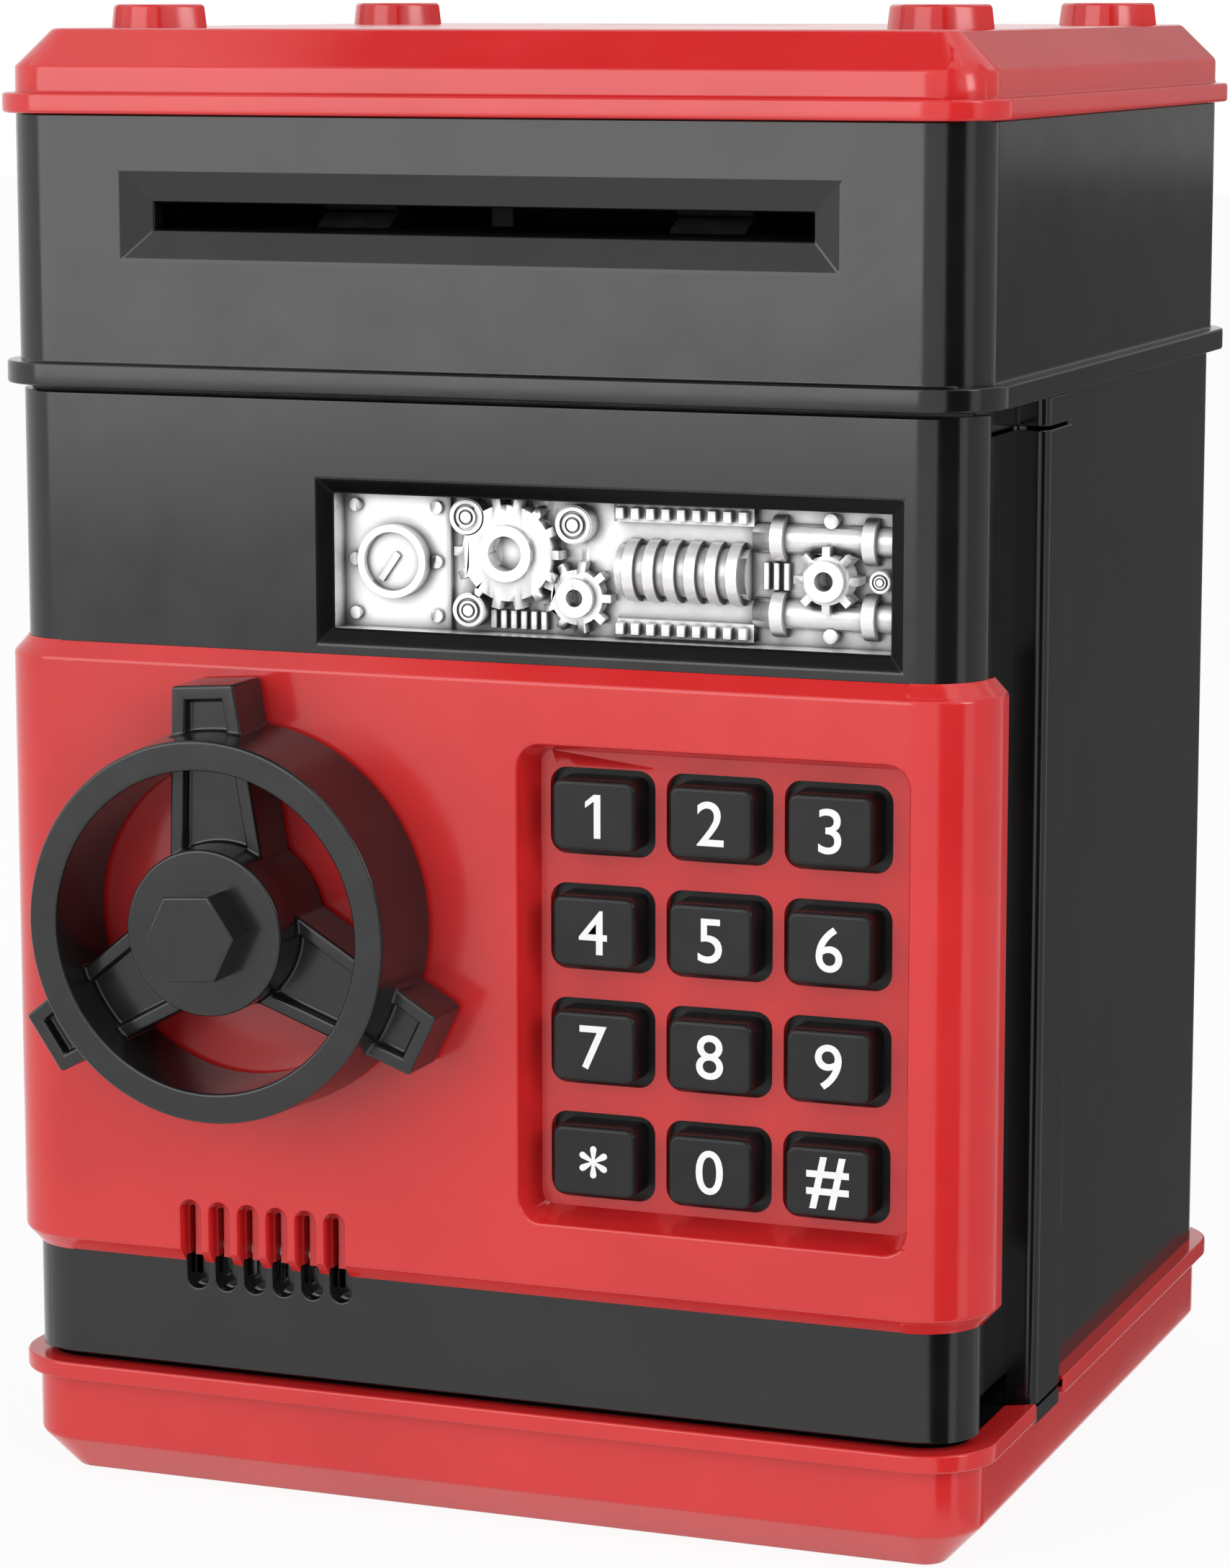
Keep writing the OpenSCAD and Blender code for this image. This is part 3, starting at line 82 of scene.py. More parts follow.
# %% [markdown]
# ## Camera
# The photograph was taken from the right and a little above, with a long lens: upright edges
# stay nearly parallel. The camera stands where those lines meet, so that every piece can be
# judged against the photograph from the first render on.

# %% Set up the camera
scene = bpy.context.scene
camera = bpy.data.objects.new("camera", bpy.data.cameras.new("camera"))
scene.collection.objects.link(camera)
scene.camera = camera
camera.location = (0.22652, -0.60349, 0.19285)
camera.rotation_euler = [math.radians(a) for a in (80.6481, 0.0469, 20.8848)]
sensor, focal_pixels, photo_height = 36.0, 6662.7, 2178.0
camera.data.sensor_width = sensor
camera.data.lens = focal_pixels * sensor / photo_height
camera.data.clip_start = 0.01
camera.data.clip_end = 20.0
print("lens", round(camera.data.lens, 1), "mm")

# %% [markdown]
# ## Helpers for taking a solid in hand
# A CAD mesh comes in as loose triangles. To work on one we copy it, weld its corners and melt
# the triangles of each flat face back into one face. Then its edges mean something: they are
# the edges of the moulding, and a bevel can find them. A flat face with holes in it is cut
# through the holes first, along seams that stay, because a bevel can't keep order round
# several holes in one face.

# %% Copy, weld and clean a solid
def take(thing):
    """Selects one object alone and makes it active."""
    bpy.ops.object.select_all(action="DESELECT")
    thing.select_set(True)
    bpy.context.view_layer.objects.active = thing
    return thing


def copy_of(node, name, cuts=()):
    """A welded copy of a CAD node; cuts are the x places of upright cuts, in mm."""
    take(frame["nodes"][node])
    bpy.ops.object.duplicate()
    piece = bpy.context.active_object
    piece.name = name
    piece.parent = None
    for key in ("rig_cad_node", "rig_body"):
        if key in piece:
            del piece[key]
    bpy.ops.object.mode_set(mode="EDIT")
    bpy.ops.mesh.select_all(action="SELECT")
    bpy.ops.mesh.remove_doubles(threshold=0.001 * mm)
    for x in cuts:
        bpy.ops.mesh.select_all(action="SELECT")
        bpy.ops.mesh.bisect(plane_co=(x * mm, 0, 0), plane_no=(1, 0, 0))
        bpy.ops.mesh.mark_seam()
    bpy.ops.mesh.select_all(action="SELECT")
    bpy.ops.mesh.dissolve_limited(angle_limit=math.radians(0.6), delimit={"SEAM"})
    bpy.ops.object.mode_set(mode="OBJECT")
    return piece


print(len(body_of), "nodes can be copied")

# %% [markdown]
# ## Smooth rounds and flat flats
# A glossy face betrays its shading at once: if a corner's normal leans, the mirrored picture
# bends there, and a flat wall looks dented. Smooth shading by angle leans many of them, since it
# averages a wall with the round beside it. A Weighted Normal modifier gives most of that back to
# the large face. What still leans at the ends of the rounds is set upright by hand.

# %% Shading
flat_width = 3 * mm


def settle(piece, angle=38):
    """Shades the rounds smooth and every wide face level right up to its ends."""
    take(piece)
    bpy.ops.object.shade_smooth_by_angle(angle=math.radians(angle))
    even = piece.modifiers.new("even", "WEIGHTED_NORMAL")
    even.keep_sharp = True
    even.weight = 100
    bpy.ops.object.modifier_apply(modifier=even.name)
    mesh = piece.data
    shading = [corner.vector.copy() for corner in mesh.corner_normals]
    for face in mesh.polygons:
        ends = [mesh.vertices[i].co for i in face.vertices]
        longest = max((a - b).length for a, b in zip(ends, ends[1:] + ends[:1]))
        if face.area / longest > flat_width:
            for i in face.loop_indices:
                shading[i] = face.normal.copy()
    mesh.normals_split_custom_set(shading)
    return piece


# %% [markdown]
# ## Round the moulded edges
# No injection mould leaves a knife edge, and the thin bright line along each rim of the real
# bank is such a small radius catching the lamp. Rounding every edge would also reach into screw
# holes and hidden ribs, where there is no room. So we weigh the long edges in view, and the
# Bevel modifier rounds only those.

# %% Rounding
sharp_angle = math.radians(22)
least_span = 9 * mm


def chains(bm):
    """Groups of sharp edges that hang together, as lists of edges."""
    sharp = {e for e in bm.edges if e.is_manifold and e.calc_face_angle(0) > sharp_angle}
    left, found = set(sharp), []
    while left:
        stack, chain = [left.pop()], []
        while stack:
            edge = stack.pop()
            chain.append(edge)
            for corner in edge.verts:
                for other in corner.link_edges:
                    if other in left:
                        left.remove(other)
                        stack.append(other)
        found.append(chain)
    return found


def span(chain):
    """The longest side of the box round a chain."""
    ends = [v.co for e in chain for v in e.verts]
    return max(max(c[i] for c in ends) - min(c[i] for c in ends) for i in range(3))


def soften(piece, width, where=lambda c: True, rings=2):
    """Rounds the piece's long sharp edges whose ends, in mm, both pass the test 'where'."""
    take(piece)
    bm = bmesh.new()
    bm.from_mesh(piece.data)
    weight = bm.edges.layers.float.new("bevel_weight_edge")
    count = 0
    for chain in chains(bm):
        if span(chain) < least_span:
            continue
        for edge in chain:
            if all(where(v.co / mm) for v in edge.verts):
                edge[weight] = 1.0
                count += 1
    bm.to_mesh(piece.data)
    bm.free()
    bevel = piece.modifiers.new("rounding", "BEVEL")
    bevel.width = width
    bevel.segments = rings
    bevel.limit_method = "WEIGHT"
    bevel.use_clamp_overlap = False
    bevel.miter_outer = "MITER_SHARP"
    bpy.ops.object.modifier_apply(modifier=bevel.name)
    settle(piece)
    print(f"{piece.name}: {count} edges rounded by {width / mm:.2f} mm")
    return piece


def stand_for(piece, node):
    """The piece takes the place, the body and the finish of a CAD node."""
    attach(piece, body_of[node])
    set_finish(piece, slot_of[node])
    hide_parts(node)
    return piece


# %% [markdown]
# ## The red tray
# The base is an open moulding: an upright wall with a rim where it meets the black case, and a
# wide chamfer at its foot. It could be drawn anew as stacked boxes, but its solid already holds
# the screw posts and the battery bay. So a copy keeps the inside true, and only the outside is
# rounded.

# %% Base tray
base = copy_of("base", "base_tray")
soften(base, 0.35 * mm, lambda c: abs(c.x) > 59 or abs(c.y) > 53.5)
stand_for(base, "base")

# %% [markdown]
# ## The red lid
# The lid is the tray's likeness, upside down, with four hexagonal bosses and the coin slot. The
# bosses stand so near the slope that a rounding which runs into their feet has no room and
# tears the top. Cutting the top through the bosses' middles and leaving the feet sharp avoids
# that, and nobody sees the difference.

# %% Lid with its four hexagonal bosses
lid_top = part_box("top_cover")[1].z / mm
lid_foot = 178
boss_x, boss_ys, boss_reach, boss_rise = 52.8, (-37.0, 40.5), 8.6, 2.5
lid = copy_of("top_cover", "lid", cuts=(-boss_x, 0, boss_x))


def by_boss(c):
    """The feet of the bosses reach the slope's edge, so no rounding starts there."""
    near = any(math.hypot(abs(c.x) - boss_x, c.y - y) < boss_reach for y in boss_ys)
    return near and c.z < lid_top - boss_rise


soften(lid, 0.4 * mm, lambda c: (abs(c.x) > 64 or abs(c.y) > 59 or c.z > lid_top - 4)
       and c.z > lid_foot and not by_boss(c))
stand_for(lid, "top_cover")

# %% [markdown]
# ## The black body
# The body is the box behind the door, with a jamb at each side and the hinge's knuckles at the
# right. Its lower rim is hidden in the tray and stays as it is. The upright corners already are
# round in the solid, so only the edges of the front opening and of the upper rim are softened.

# %% Body
case_body = copy_of("body_shell", "case_body")
soften(case_body, 0.3 * mm, lambda c: c.z > 16.5 and (abs(c.x) > 57 or c.y > 57 or c.y < -49.3))
stand_for(case_body, "body_shell")

# %% [markdown]
# ## The black head
# The head carries the belt rim, the note slot in its sunk funnel, and the seat of the lid.
# Rounding the belt gives the two fine highlights that run round the real one.

# %% Head
head = copy_of("head_housing", "case_head")
soften(head, 0.3 * mm, lambda c: abs(c.x) > 64.5 or abs(c.y) > 59.4 or c.y < -57.5)
stand_for(head, "head_housing")

# %% [markdown]
# ## The door's black shell
# The door shell wraps round the front corners. Its window has a sloped bezel that frames the
# relief. A door is looked at from close by and from all sides, so both its front and the edges
# of its returns are rounded. What lies behind the front face stays sharp.

# %% Door shell
door_shell = copy_of("door_shell", "door_case")
soften(door_shell, 0.3 * mm, lambda c: c.y < -58.4 or abs(c.x) > 64.3)
stand_for(door_shell, "door_shell")

# %% [markdown]
# ## The red front
# The red front is a second, thicker moulding that stands 2 mm proud, with the keypad's recess
# and the upper half of the speaker slots. Its upper and lower slopes run out to nothing against
# the shell. No mould fills a knife edge, so these two outlines are drawn out by about 0.15 mm
# and keep a thin lip.

# %% Red front
door_front = copy_of("door_panel", "door_front")
front_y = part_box("door_panel")[0].y / mm
panel_low, panel_high = (c.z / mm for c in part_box("door_panel"))
take(door_front)
bpy.ops.object.mode_set(mode="EDIT")
bpy.ops.mesh.select_mode(type="VERT")
bpy.ops.mesh.select_all(action="DESELECT")
bm = bmesh.from_edit_mesh(door_front.data)
for v in bm.verts:
    straight = abs(v.co.x / mm) < 56.8 or v.co.y / mm > -52.1
    v.select_set(straight and min(abs(v.co.z / mm - z) for z in (panel_low, panel_high)) < 0.02)
print(sum(v.select for v in bm.verts), "corners of the two outlines")
bmesh.update_edit_mesh(door_front.data)
bpy.ops.transform.resize(value=(1.0024, 1.004, 1), center_override=(0, -0.02, 0))
bpy.ops.object.mode_set(mode="OBJECT")

# %% [markdown]
# ### Its round corners
# On the round corners the slope is part of a cone. The solid gives it a few flat facets that cut
# into the shell's rounder ones, so the cone is turned anew: a short profile of the lip and the
# slope is spun a quarter turn about the corner's axis. It lies a few hundredths of a millimetre
# over the solid and belongs to the same moulding.

# %% Turned corner slopes
corner_r, corner_x, corner_y = 7.7, 56.75, -52.0
turn = {1: 90, -1: 87.5}  # degrees; at the left the red front ends just short of a quarter turn
profile = [(corner_r - 0.1, -0.06), (corner_r + 0.17, -0.06), (corner_r + 0.68, 0.6),
           (corner_r + 1.72, 1.7), (corner_r - 0.1, 1.7)]
lips = []
for side in (-1, 1):
    for level, up in ((panel_low, 1), (panel_high, -1)):
        points = [(side * corner_x * mm, (corner_y - r) * mm, (level + up * h) * mm)
                  for r, h in profile]
        mesh = bpy.data.meshes.new("lip")
        mesh.from_pydata(points, [(0, 1), (1, 2), (2, 3), (3, 4), (4, 0)], [])
        lip = bpy.data.objects.new("lip", mesh)
        scene.collection.objects.link(lip)
        take(lip)
        bpy.ops.object.mode_set(mode="EDIT")
        bpy.ops.mesh.select_all(action="SELECT")
        bpy.ops.mesh.spin(steps=20, angle=-side * math.radians(turn[side]),
                          center=(side * corner_x * mm, corner_y * mm, 0), axis=(0, 0, 1))
        bpy.ops.mesh.select_all(action="SELECT")
        bpy.ops.mesh.fill_holes(sides=8)
        bpy.ops.mesh.normals_make_consistent(inside=False)
        bpy.ops.object.mode_set(mode="OBJECT")
        reach = max(abs(v.co.x) for v in mesh.vertices) / mm
        if reach < corner_x + corner_r:
            raise SystemExit("the lip was turned the wrong way")
        lips.append(lip)
take(door_front)
for lip in lips:
    lip.select_set(True)
bpy.ops.object.join()
print("corner slopes turned, widest", round(reach, 2), "mm from the middle")

# %% [markdown]
# ### Its outer edges
# In the photograph a pale line runs along the edge between the slopes and the face, and round
# the keypad's recess. These edges are rounded. The thin lip is left out: it has no room.

# %% Round the front's outer edges
lip_h, slope_h = 1, 2.1
soften(door_front, 0.3 * mm, lambda c: panel_low + lip_h < c.z < panel_high - lip_h and (
    c.y < front_y + 0.2 or abs(c.x) > 66.2
    or min(c.z - panel_low, panel_high - c.z) < slope_h))
stand_for(door_front, "door_panel")

# %% [markdown]
# ## The hinge strip
# At the right of the door one sees a long upright strip with a round nose. It is the outer side
# of the hinge's barrel. The barrel itself is hidden, so only the strip's own edges are rounded.

# %% Hinge strip
hinge = copy_of("door_hinge", "hinge_strip")
soften(hinge, 0.25 * mm, lambda c: c.x > 62.5)
stand_for(hinge, "door_hinge")

# %% [markdown]
# ## The handwheel
# A ring, a hub and three arms with sunk faces, moulded as one. The edges of a grip are rounder
# than those of a case, so its radius is larger. The ring has room on all sides, so every long
# edge may be rounded.

# %% Handwheel
wheel = copy_of("handwheel", "handwheel_grip")
soften(wheel, 0.4 * mm, rings=3)
stand_for(wheel, "handwheel")

# %% [markdown]
# ## The wheel's bolt, by hand
# The bolt is a six-sided head with a fine round along its front rim. The CAD solid would do, but
# a cylinder with six sides is the same shape, and a Bevel on its front face rounds all six rim
# edges in one step. On the real one a corner points almost level to the side, so the primitive
# is turned as it is made.

# %% Bolt
low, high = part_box("hub_bolt")
bolt_r, bolt_depth, bolt_turn = 6.15 * mm, 4.3 * mm, math.radians(-34)
axis = Vector(((low.x + high.x) / 2, low.y + bolt_depth / 2, (low.z + high.z) / 2))
bpy.ops.object.select_all(action="DESELECT")
bpy.ops.mesh.primitive_cylinder_add(vertices=6, radius=bolt_r, depth=bolt_depth, location=axis,
                                    rotation=(math.radians(90), bolt_turn, 0))
bolt = bpy.context.active_object
bolt.name = "wheel_bolt"
bpy.ops.object.transform_apply(location=True, rotation=True, scale=True)


def round_front(piece, radius, steps):
    """Rounds the rim of the piece's front face."""
    bpy.ops.object.mode_set(mode="EDIT")
    bpy.ops.mesh.select_mode(type="FACE")
    bpy.ops.mesh.select_all(action="DESELECT")
    bm = bmesh.from_edit_mesh(piece.data)
    for face in bm.faces:
        face.select_set(face.normal.y < -0.9)
    bmesh.update_edit_mesh(piece.data)
    bpy.ops.mesh.bevel(offset=radius, segments=steps, affect="EDGES")
    bpy.ops.object.mode_set(mode="OBJECT")


round_front(bolt, 0.35 * mm, 3)
settle(bolt, 30)
stand_for(bolt, "hub_bolt")
print("bolt", [round(v / mm, 1) for v in bolt.dimensions])

# %% [markdown]
# ## Keys, modelled once
# A key is a cap with rounded corners on a thin skirt. The skirt is wider than the opening, so
# the key can't fall out, and it presses on the rubber mat behind. Two boxes make it, each with
# its four upright edges bevelled, and the cap's front rim gets a second, finer bevel. The key is
# made at the origin and copied from there.

# %% One key
key_low, key_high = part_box("key_5")
cap_w, cap_h, skirt_t = 11.0 * mm, 8.9 * mm, 1.0 * mm
key_depth = key_high.y - key_low.y
cap_d = key_depth - 0.9 * mm


def block(width, depth, height, y, corner, steps):
    """An upright slab with round corners, its front face at y."""
    bpy.ops.object.select_all(action="DESELECT")
    bpy.ops.mesh.primitive_cube_add(size=1, location=(0, y + depth / 2, 0),
                                    scale=(width, depth, height))
    slab = bpy.context.active_object
    bpy.ops.object.transform_apply(location=True, rotation=True, scale=True)
    bpy.ops.object.mode_set(mode="EDIT")
    bpy.ops.mesh.select_mode(type="EDGE")
    bpy.ops.mesh.select_all(action="DESELECT")
    bm = bmesh.from_edit_mesh(slab.data)
    for edge in bm.edges:
        a, b = (v.co for v in edge.verts)
        edge.select_set(abs(a.y - b.y) > depth / 2)
    bmesh.update_edit_mesh(slab.data)
    bpy.ops.mesh.bevel(offset=corner, segments=steps, affect="EDGES")
    bpy.ops.object.mode_set(mode="OBJECT")
    return slab


cap = block(cap_w, cap_d, cap_h, 0.0, 1.3 * mm, 6)
round_front(cap, 0.6 * mm, 4)
skirt = block(key_high.x - key_low.x, skirt_t, key_high.z - key_low.z, key_depth - skirt_t,
              2.0 * mm, 4)
take(cap)
skirt.select_set(True)
bpy.ops.object.join()
settle(cap, 30)
print("key", [round(v / mm, 1) for v in cap.dimensions], "faces", len(cap.data.polygons))

# %% [markdown]
# ### Twelve copies
# All twelve keys come from one mould, so the one key is duplicated, each copy with a mesh of its
# own. The place goes into the mesh, so that a key's origin stays the frame's origin, and each
# copy rides on its own body, because every key is pressed alone.

# %% Twelve copies
names = ["1", "2", "3", "4", "5", "6", "7", "8", "9", "star", "0", "hash"]
keys = {}
for name in names:
    low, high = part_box("key_" + name)
    take(cap)
    bpy.ops.object.duplicate()
    key = bpy.context.active_object
    key.name = "keycap_" + name
    bpy.ops.transform.translate(value=((low.x + high.x) / 2, low.y, (low.z + high.z) / 2))
    bpy.ops.object.transform_apply(location=True, rotation=True, scale=True)
    keys[name] = stand_for(key, "key_" + name)
bpy.data.objects.remove(cap)
print(len(keys), "keys")

# %% [markdown]
# ## The figures
# Plain white figures are printed on the keys. They could be an image on the cap, but then they
# would blur close by. So they are text, made a mesh so that the export keeps them, and stand a
# few hundredths of a millimetre proud, as thick ink does. The star and the hash sign are small
# and thin in this face, so they are set larger and bolder.

# %% Print the figures
figure_h = 5.75 * mm
cap_share = 0.73  # height of a figure as a share of the font's size
ink = 0.03 * mm
stroke = 0.05 * mm  # how much each outline is thickened
signs = {"star": "*", "hash": "#"}
larger = {"star": 1.1, "hash": 1.15}
bolder = {"star": 0.12 * mm, "hash": 0.11 * mm}


def add_flag(figure):
    """The plain face draws 1 as a bar, so its short stroke at the top left is added."""
    left = min(v.co.x for v in figure.data.vertices)
    top = max(v.co.y for v in figure.data.vertices)
    outline = [(left + x * mm, top + y * mm)
               for x, y in ((0, 0), (-1.15, -0.95), (-1.15, -1.7), (0, -0.85))]
    mesh = bpy.data.meshes.new("flag")
    mesh.from_pydata([(x, y, z) for z in (ink, -ink) for x, y in outline], [],
                     [(0, 1, 2, 3), (7, 6, 5, 4), (0, 4, 5, 1), (1, 5, 6, 2), (2, 6, 7, 3),
                      (3, 7, 4, 0)])
    flag = bpy.data.objects.new("flag", mesh)
    scene.collection.objects.link(flag)
    take(figure)
    flag.select_set(True)
    bpy.ops.object.join()


figures = []
for name in names:
    low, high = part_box("key_" + name)
    bpy.ops.object.select_all(action="DESELECT")
    bpy.ops.object.text_add(location=(0, 0, 0))
    text = bpy.context.active_object
    text.data.body = signs.get(name, name)
    text.data.size = figure_h / cap_share * larger.get(name, 1)
    text.data.offset = bolder.get(name, stroke)
    text.data.extrude = ink
    text.data.resolution_u = 6
    bpy.ops.object.convert(target="MESH")
    figure = bpy.context.active_object
    figure.name = "figure_" + name
    if name == "1":
        add_flag(figure)
    xs = [v.co.x for v in figure.data.vertices]
    ys = [v.co.y for v in figure.data.vertices]
    bpy.ops.transform.translate(value=(-(min(xs) + max(xs)) / 2, -(min(ys) + max(ys)) / 2, 0))
    bpy.ops.object.transform_apply(location=True, rotation=True, scale=True)
    bpy.ops.transform.rotate(value=math.radians(-90), orient_axis="X", center_override=(0, 0, 0))
    bpy.ops.object.transform_apply(location=True, rotation=True, scale=True)
    if min(v.co.y for v in figure.data.vertices) < -1 * mm:
        raise SystemExit("the figure isn't upright")
    bpy.ops.transform.translate(value=((low.x + high.x) / 2, low.y, (low.z + high.z) / 2))
    bpy.ops.object.transform_apply(location=True, rotation=True, scale=True)
    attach(figure, body_of["key_" + name])
    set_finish(figure, "key_plastic")
    figures.append(figure)
print(len(figures), "figures,", round(figures[7].dimensions.z / mm, 2), "mm high")

# %% [markdown]
# ## The relief in the window
# Behind the window lies a silver moulding of cogs, pipes and a dial. The CAD solid gives its
# large forms. A toolmaker would fill the ground between them, so small round bosses and slatted
# vents are added here. One boss is drawn out of a disc: each ring is an inset of the front face
# that is then pushed in or out. It is copied to its places, each copy at its own size.

# %% A ringed boss
floor_y = -54.0 * mm  # the ground of the relief
ring_steps = ((0.16, -0.16), (0.45, 0.35), (0.4, -0.45), (0.3, 0.3), (0.28, -0.4))  # in, out
bpy.ops.object.select_all(action="DESELECT")
bpy.ops.mesh.primitive_cylinder_add(vertices=40, radius=2.3 * mm, depth=2.6 * mm,
                                    location=(0, 0, 0), rotation=(math.radians(90), 0, 0))
boss = bpy.context.active_object
boss.name = "boss"
bpy.ops.object.transform_apply(location=True, rotation=True, scale=True)
bpy.ops.object.mode_set(mode="EDIT")
bpy.ops.mesh.select_mode(type="FACE")
bpy.ops.mesh.select_all(action="DESELECT")
bm = bmesh.from_edit_mesh(boss.data)
for face in bm.faces:
    face.select_set(face.normal.y < -0.9)
bmesh.update_edit_mesh(boss.data)
for rim, step in ring_steps:
    bpy.ops.mesh.inset(thickness=rim * mm, depth=0)
    bpy.ops.mesh.extrude_region_move(TRANSFORM_OT_translate={"value": (0, step * mm, 0)})
bpy.ops.object.mode_set(mode="OBJECT")
print("boss", len(boss.data.polygons), "faces,", round(boss.dimensions.y / mm, 2), "mm deep")

# %% [markdown]
# ### A slatted vent
# A vent is a row of slats. One slat is modelled and repeated by an Array modifier, which is how
# such a row is cut in the mould too: one cutter, stepped along.

# %% A slatted vent
def vent(x, z, count, pitch, width, height, back):
    """Upright slats in a row, centred on (x, z), in mm; back is the depth of their foot."""
    bpy.ops.object.select_all(action="DESELECT")
    bpy.ops.mesh.primitive_cube_add(size=1, location=(0, 0, 0))
    slat = bpy.context.active_object
    slat.dimensions = (width * mm, 1.2 * mm, height * mm)
    bpy.ops.object.transform_apply(location=True, rotation=True, scale=True)
    edge = slat.modifiers.new("edge", "BEVEL")
    edge.width = 0.1 * mm
    bpy.ops.object.modifier_apply(modifier=edge.name)
    row = slat.modifiers.new("row", "ARRAY")
    row.count = count
    row.use_relative_offset = False
    row.use_constant_offset = True
    row.constant_offset_displace = (pitch * mm, 0, 0)
    bpy.ops.object.modifier_apply(modifier=row.name)
    bpy.ops.transform.translate(value=((x - pitch * (count - 1) / 2) * mm, back - 0.5 * mm, z * mm))
    bpy.ops.object.transform_apply(location=True, rotation=True, scale=True)
    return slat


trough_y = floor_y - 1.4 * mm  # the plate that carries the drum
details = [vent(4.4, 116.1, 6, 1.35, 0.8, 2.4, floor_y),
           vent(26.3, 130.1, 9, 2.0, 1.1, 1.5, trough_y),
           vent(26.3, 115.8, 9, 2.0, 1.1, 1.5, trough_y),
           vent(38.2, 122.95, 3, 1.3, 0.7, 3.4, floor_y)]
print(len(details), "vents")

# %% [markdown]
# ### Bosses in their places
# Four bosses fill the corners between the cogs. They are scaled across only, not in depth, so
# that all of them stand equally far from the ground.

# %% Place the bosses
boss_places = ((-1.95, 128.85, 1.0), (12.25, 128.4, 1.05), (-1.7, 117.2, 0.95),
               (51.9, 122.95, 0.6))
for x, z, size in boss_places:
    take(boss)
    bpy.ops.object.duplicate()
    extra = bpy.context.active_object
    bpy.ops.transform.resize(value=(size, 1, size), center_override=(0, 0, 0))
    bpy.ops.transform.translate(value=(x * mm, floor_y - 1.2 * mm, z * mm))
    bpy.ops.object.transform_apply(location=True, rotation=True, scale=True)
    details.append(extra)
bpy.data.objects.remove(boss)
print(len(details), "details, the foremost at",
      round(min(v.co.y for d in details for v in d.data.vertices) / mm, 2), "mm")

# %% [markdown]
# ### The relief as one moulding
# The solid's ground is one flat face with a cog-shaped hole for every cog. Such a face can't be
# filled cleanly, so it is cut upright between the teeth first. Then the details are joined to
# it, and the whole is one piece, as the moulding is.

# %% Relief
by_dial, by_drum = (-17.4, -11.95, -6.5), (18, 45.25)
among_cogs = [-2.0 + 1.1 * k for k in range(15)]
relief = copy_of("relief_plate", "window_relief", cuts=[*by_dial, *among_cogs, *by_drum])
take(relief)
for detail in details:
    detail.select_set(True)
bpy.ops.object.join()
settle(relief, 30)
stand_for(relief, "relief_plate")

# %% [markdown]
# ## Effects that several finishes share
# A look that several materials need is built once, as a shader node group, and each material
# sets its own scale. The groups give masks and nothing else, so they fit any shader. A few small
# functions keep the wiring short.

# %% Node group helpers
def new_group(name, inputs, outputs):
    """A shader group with (name, value) inputs and named float outputs."""
    tree = bpy.data.node_groups.new(name, "ShaderNodeTree")
    for label, value in inputs:
        socket = tree.interface.new_socket(name=label, in_out="INPUT",
                                           socket_type="NodeSocketFloat")
        socket.default_value = value
    for label in outputs:
        tree.interface.new_socket(name=label, in_out="OUTPUT", socket_type="NodeSocketFloat")
    return tree, tree.nodes.new("NodeGroupInput"), tree.nodes.new("NodeGroupOutput")


def add(tree, kind, **values):
    """Adds a node and sets its properties, or its inputs where the name is an input's."""
    node = tree.nodes.new(kind)
    for label, value in values.items():
        if label.startswith("in_"):
            node.inputs[int(label[3:])].default_value = value
        else:
            setattr(node, label, value)
    return node


def link(tree, a, out, b, into):
    """Joins an output of node a to an input of node b, both by name or number."""
    tree.links.new(a.outputs[out], b.inputs[into])


print("helpers for groups, nodes and links are ready")

# %% [markdown]
# ### Moulded skin
# Moulded plastic is never quite even: the skin has a very fine orange peel, the gloss varies in
# soft patches, and the colour drifts a little where the melt flowed. Three noises of different
# size give these. They read Object coordinates, so the pattern has its true size and stays on
# the piece when it moves.

# %% Moulded skin
skin, skin_in, skin_out = new_group("moulded_skin", [("Peel scale", 2600), ("Flow scale", 38)],
                                    ["Peel", "Gloss patches", "Flow"])
coords = add(skin, "ShaderNodeTexCoord")
peel = add(skin, "ShaderNodeTexNoise", in_3=2.0, in_4=0.5)
flow = add(skin, "ShaderNodeTexNoise", in_3=3.0, in_4=0.55)
patch_scale = add(skin, "ShaderNodeMath", operation="MULTIPLY", in_1=2.7)
patches = add(skin, "ShaderNodeTexNoise", in_3=4.0, in_4=0.6)
for noise in (peel, flow, patches):
    link(skin, coords, "Object", noise, "Vector")
link(skin, skin_in, "Peel scale", peel, "Scale")
link(skin, skin_in, "Flow scale", flow, "Scale")
link(skin, skin_in, "Flow scale", patch_scale, 0)
link(skin, patch_scale, 0, patches, "Scale")
link(skin, peel, 0, skin_out, "Peel")
link(skin, patches, 0, skin_out, "Gloss patches")
link(skin, flow, 0, skin_out, "Flow")
print(skin.name, len(skin.nodes), "nodes")

# %% [markdown]
# ### Drawn metal
# Wire and sheet are drawn or rolled, which leaves fine lines along their length. A noise that is
# stretched along X gives the lines, and a plain one gives the tarnish.

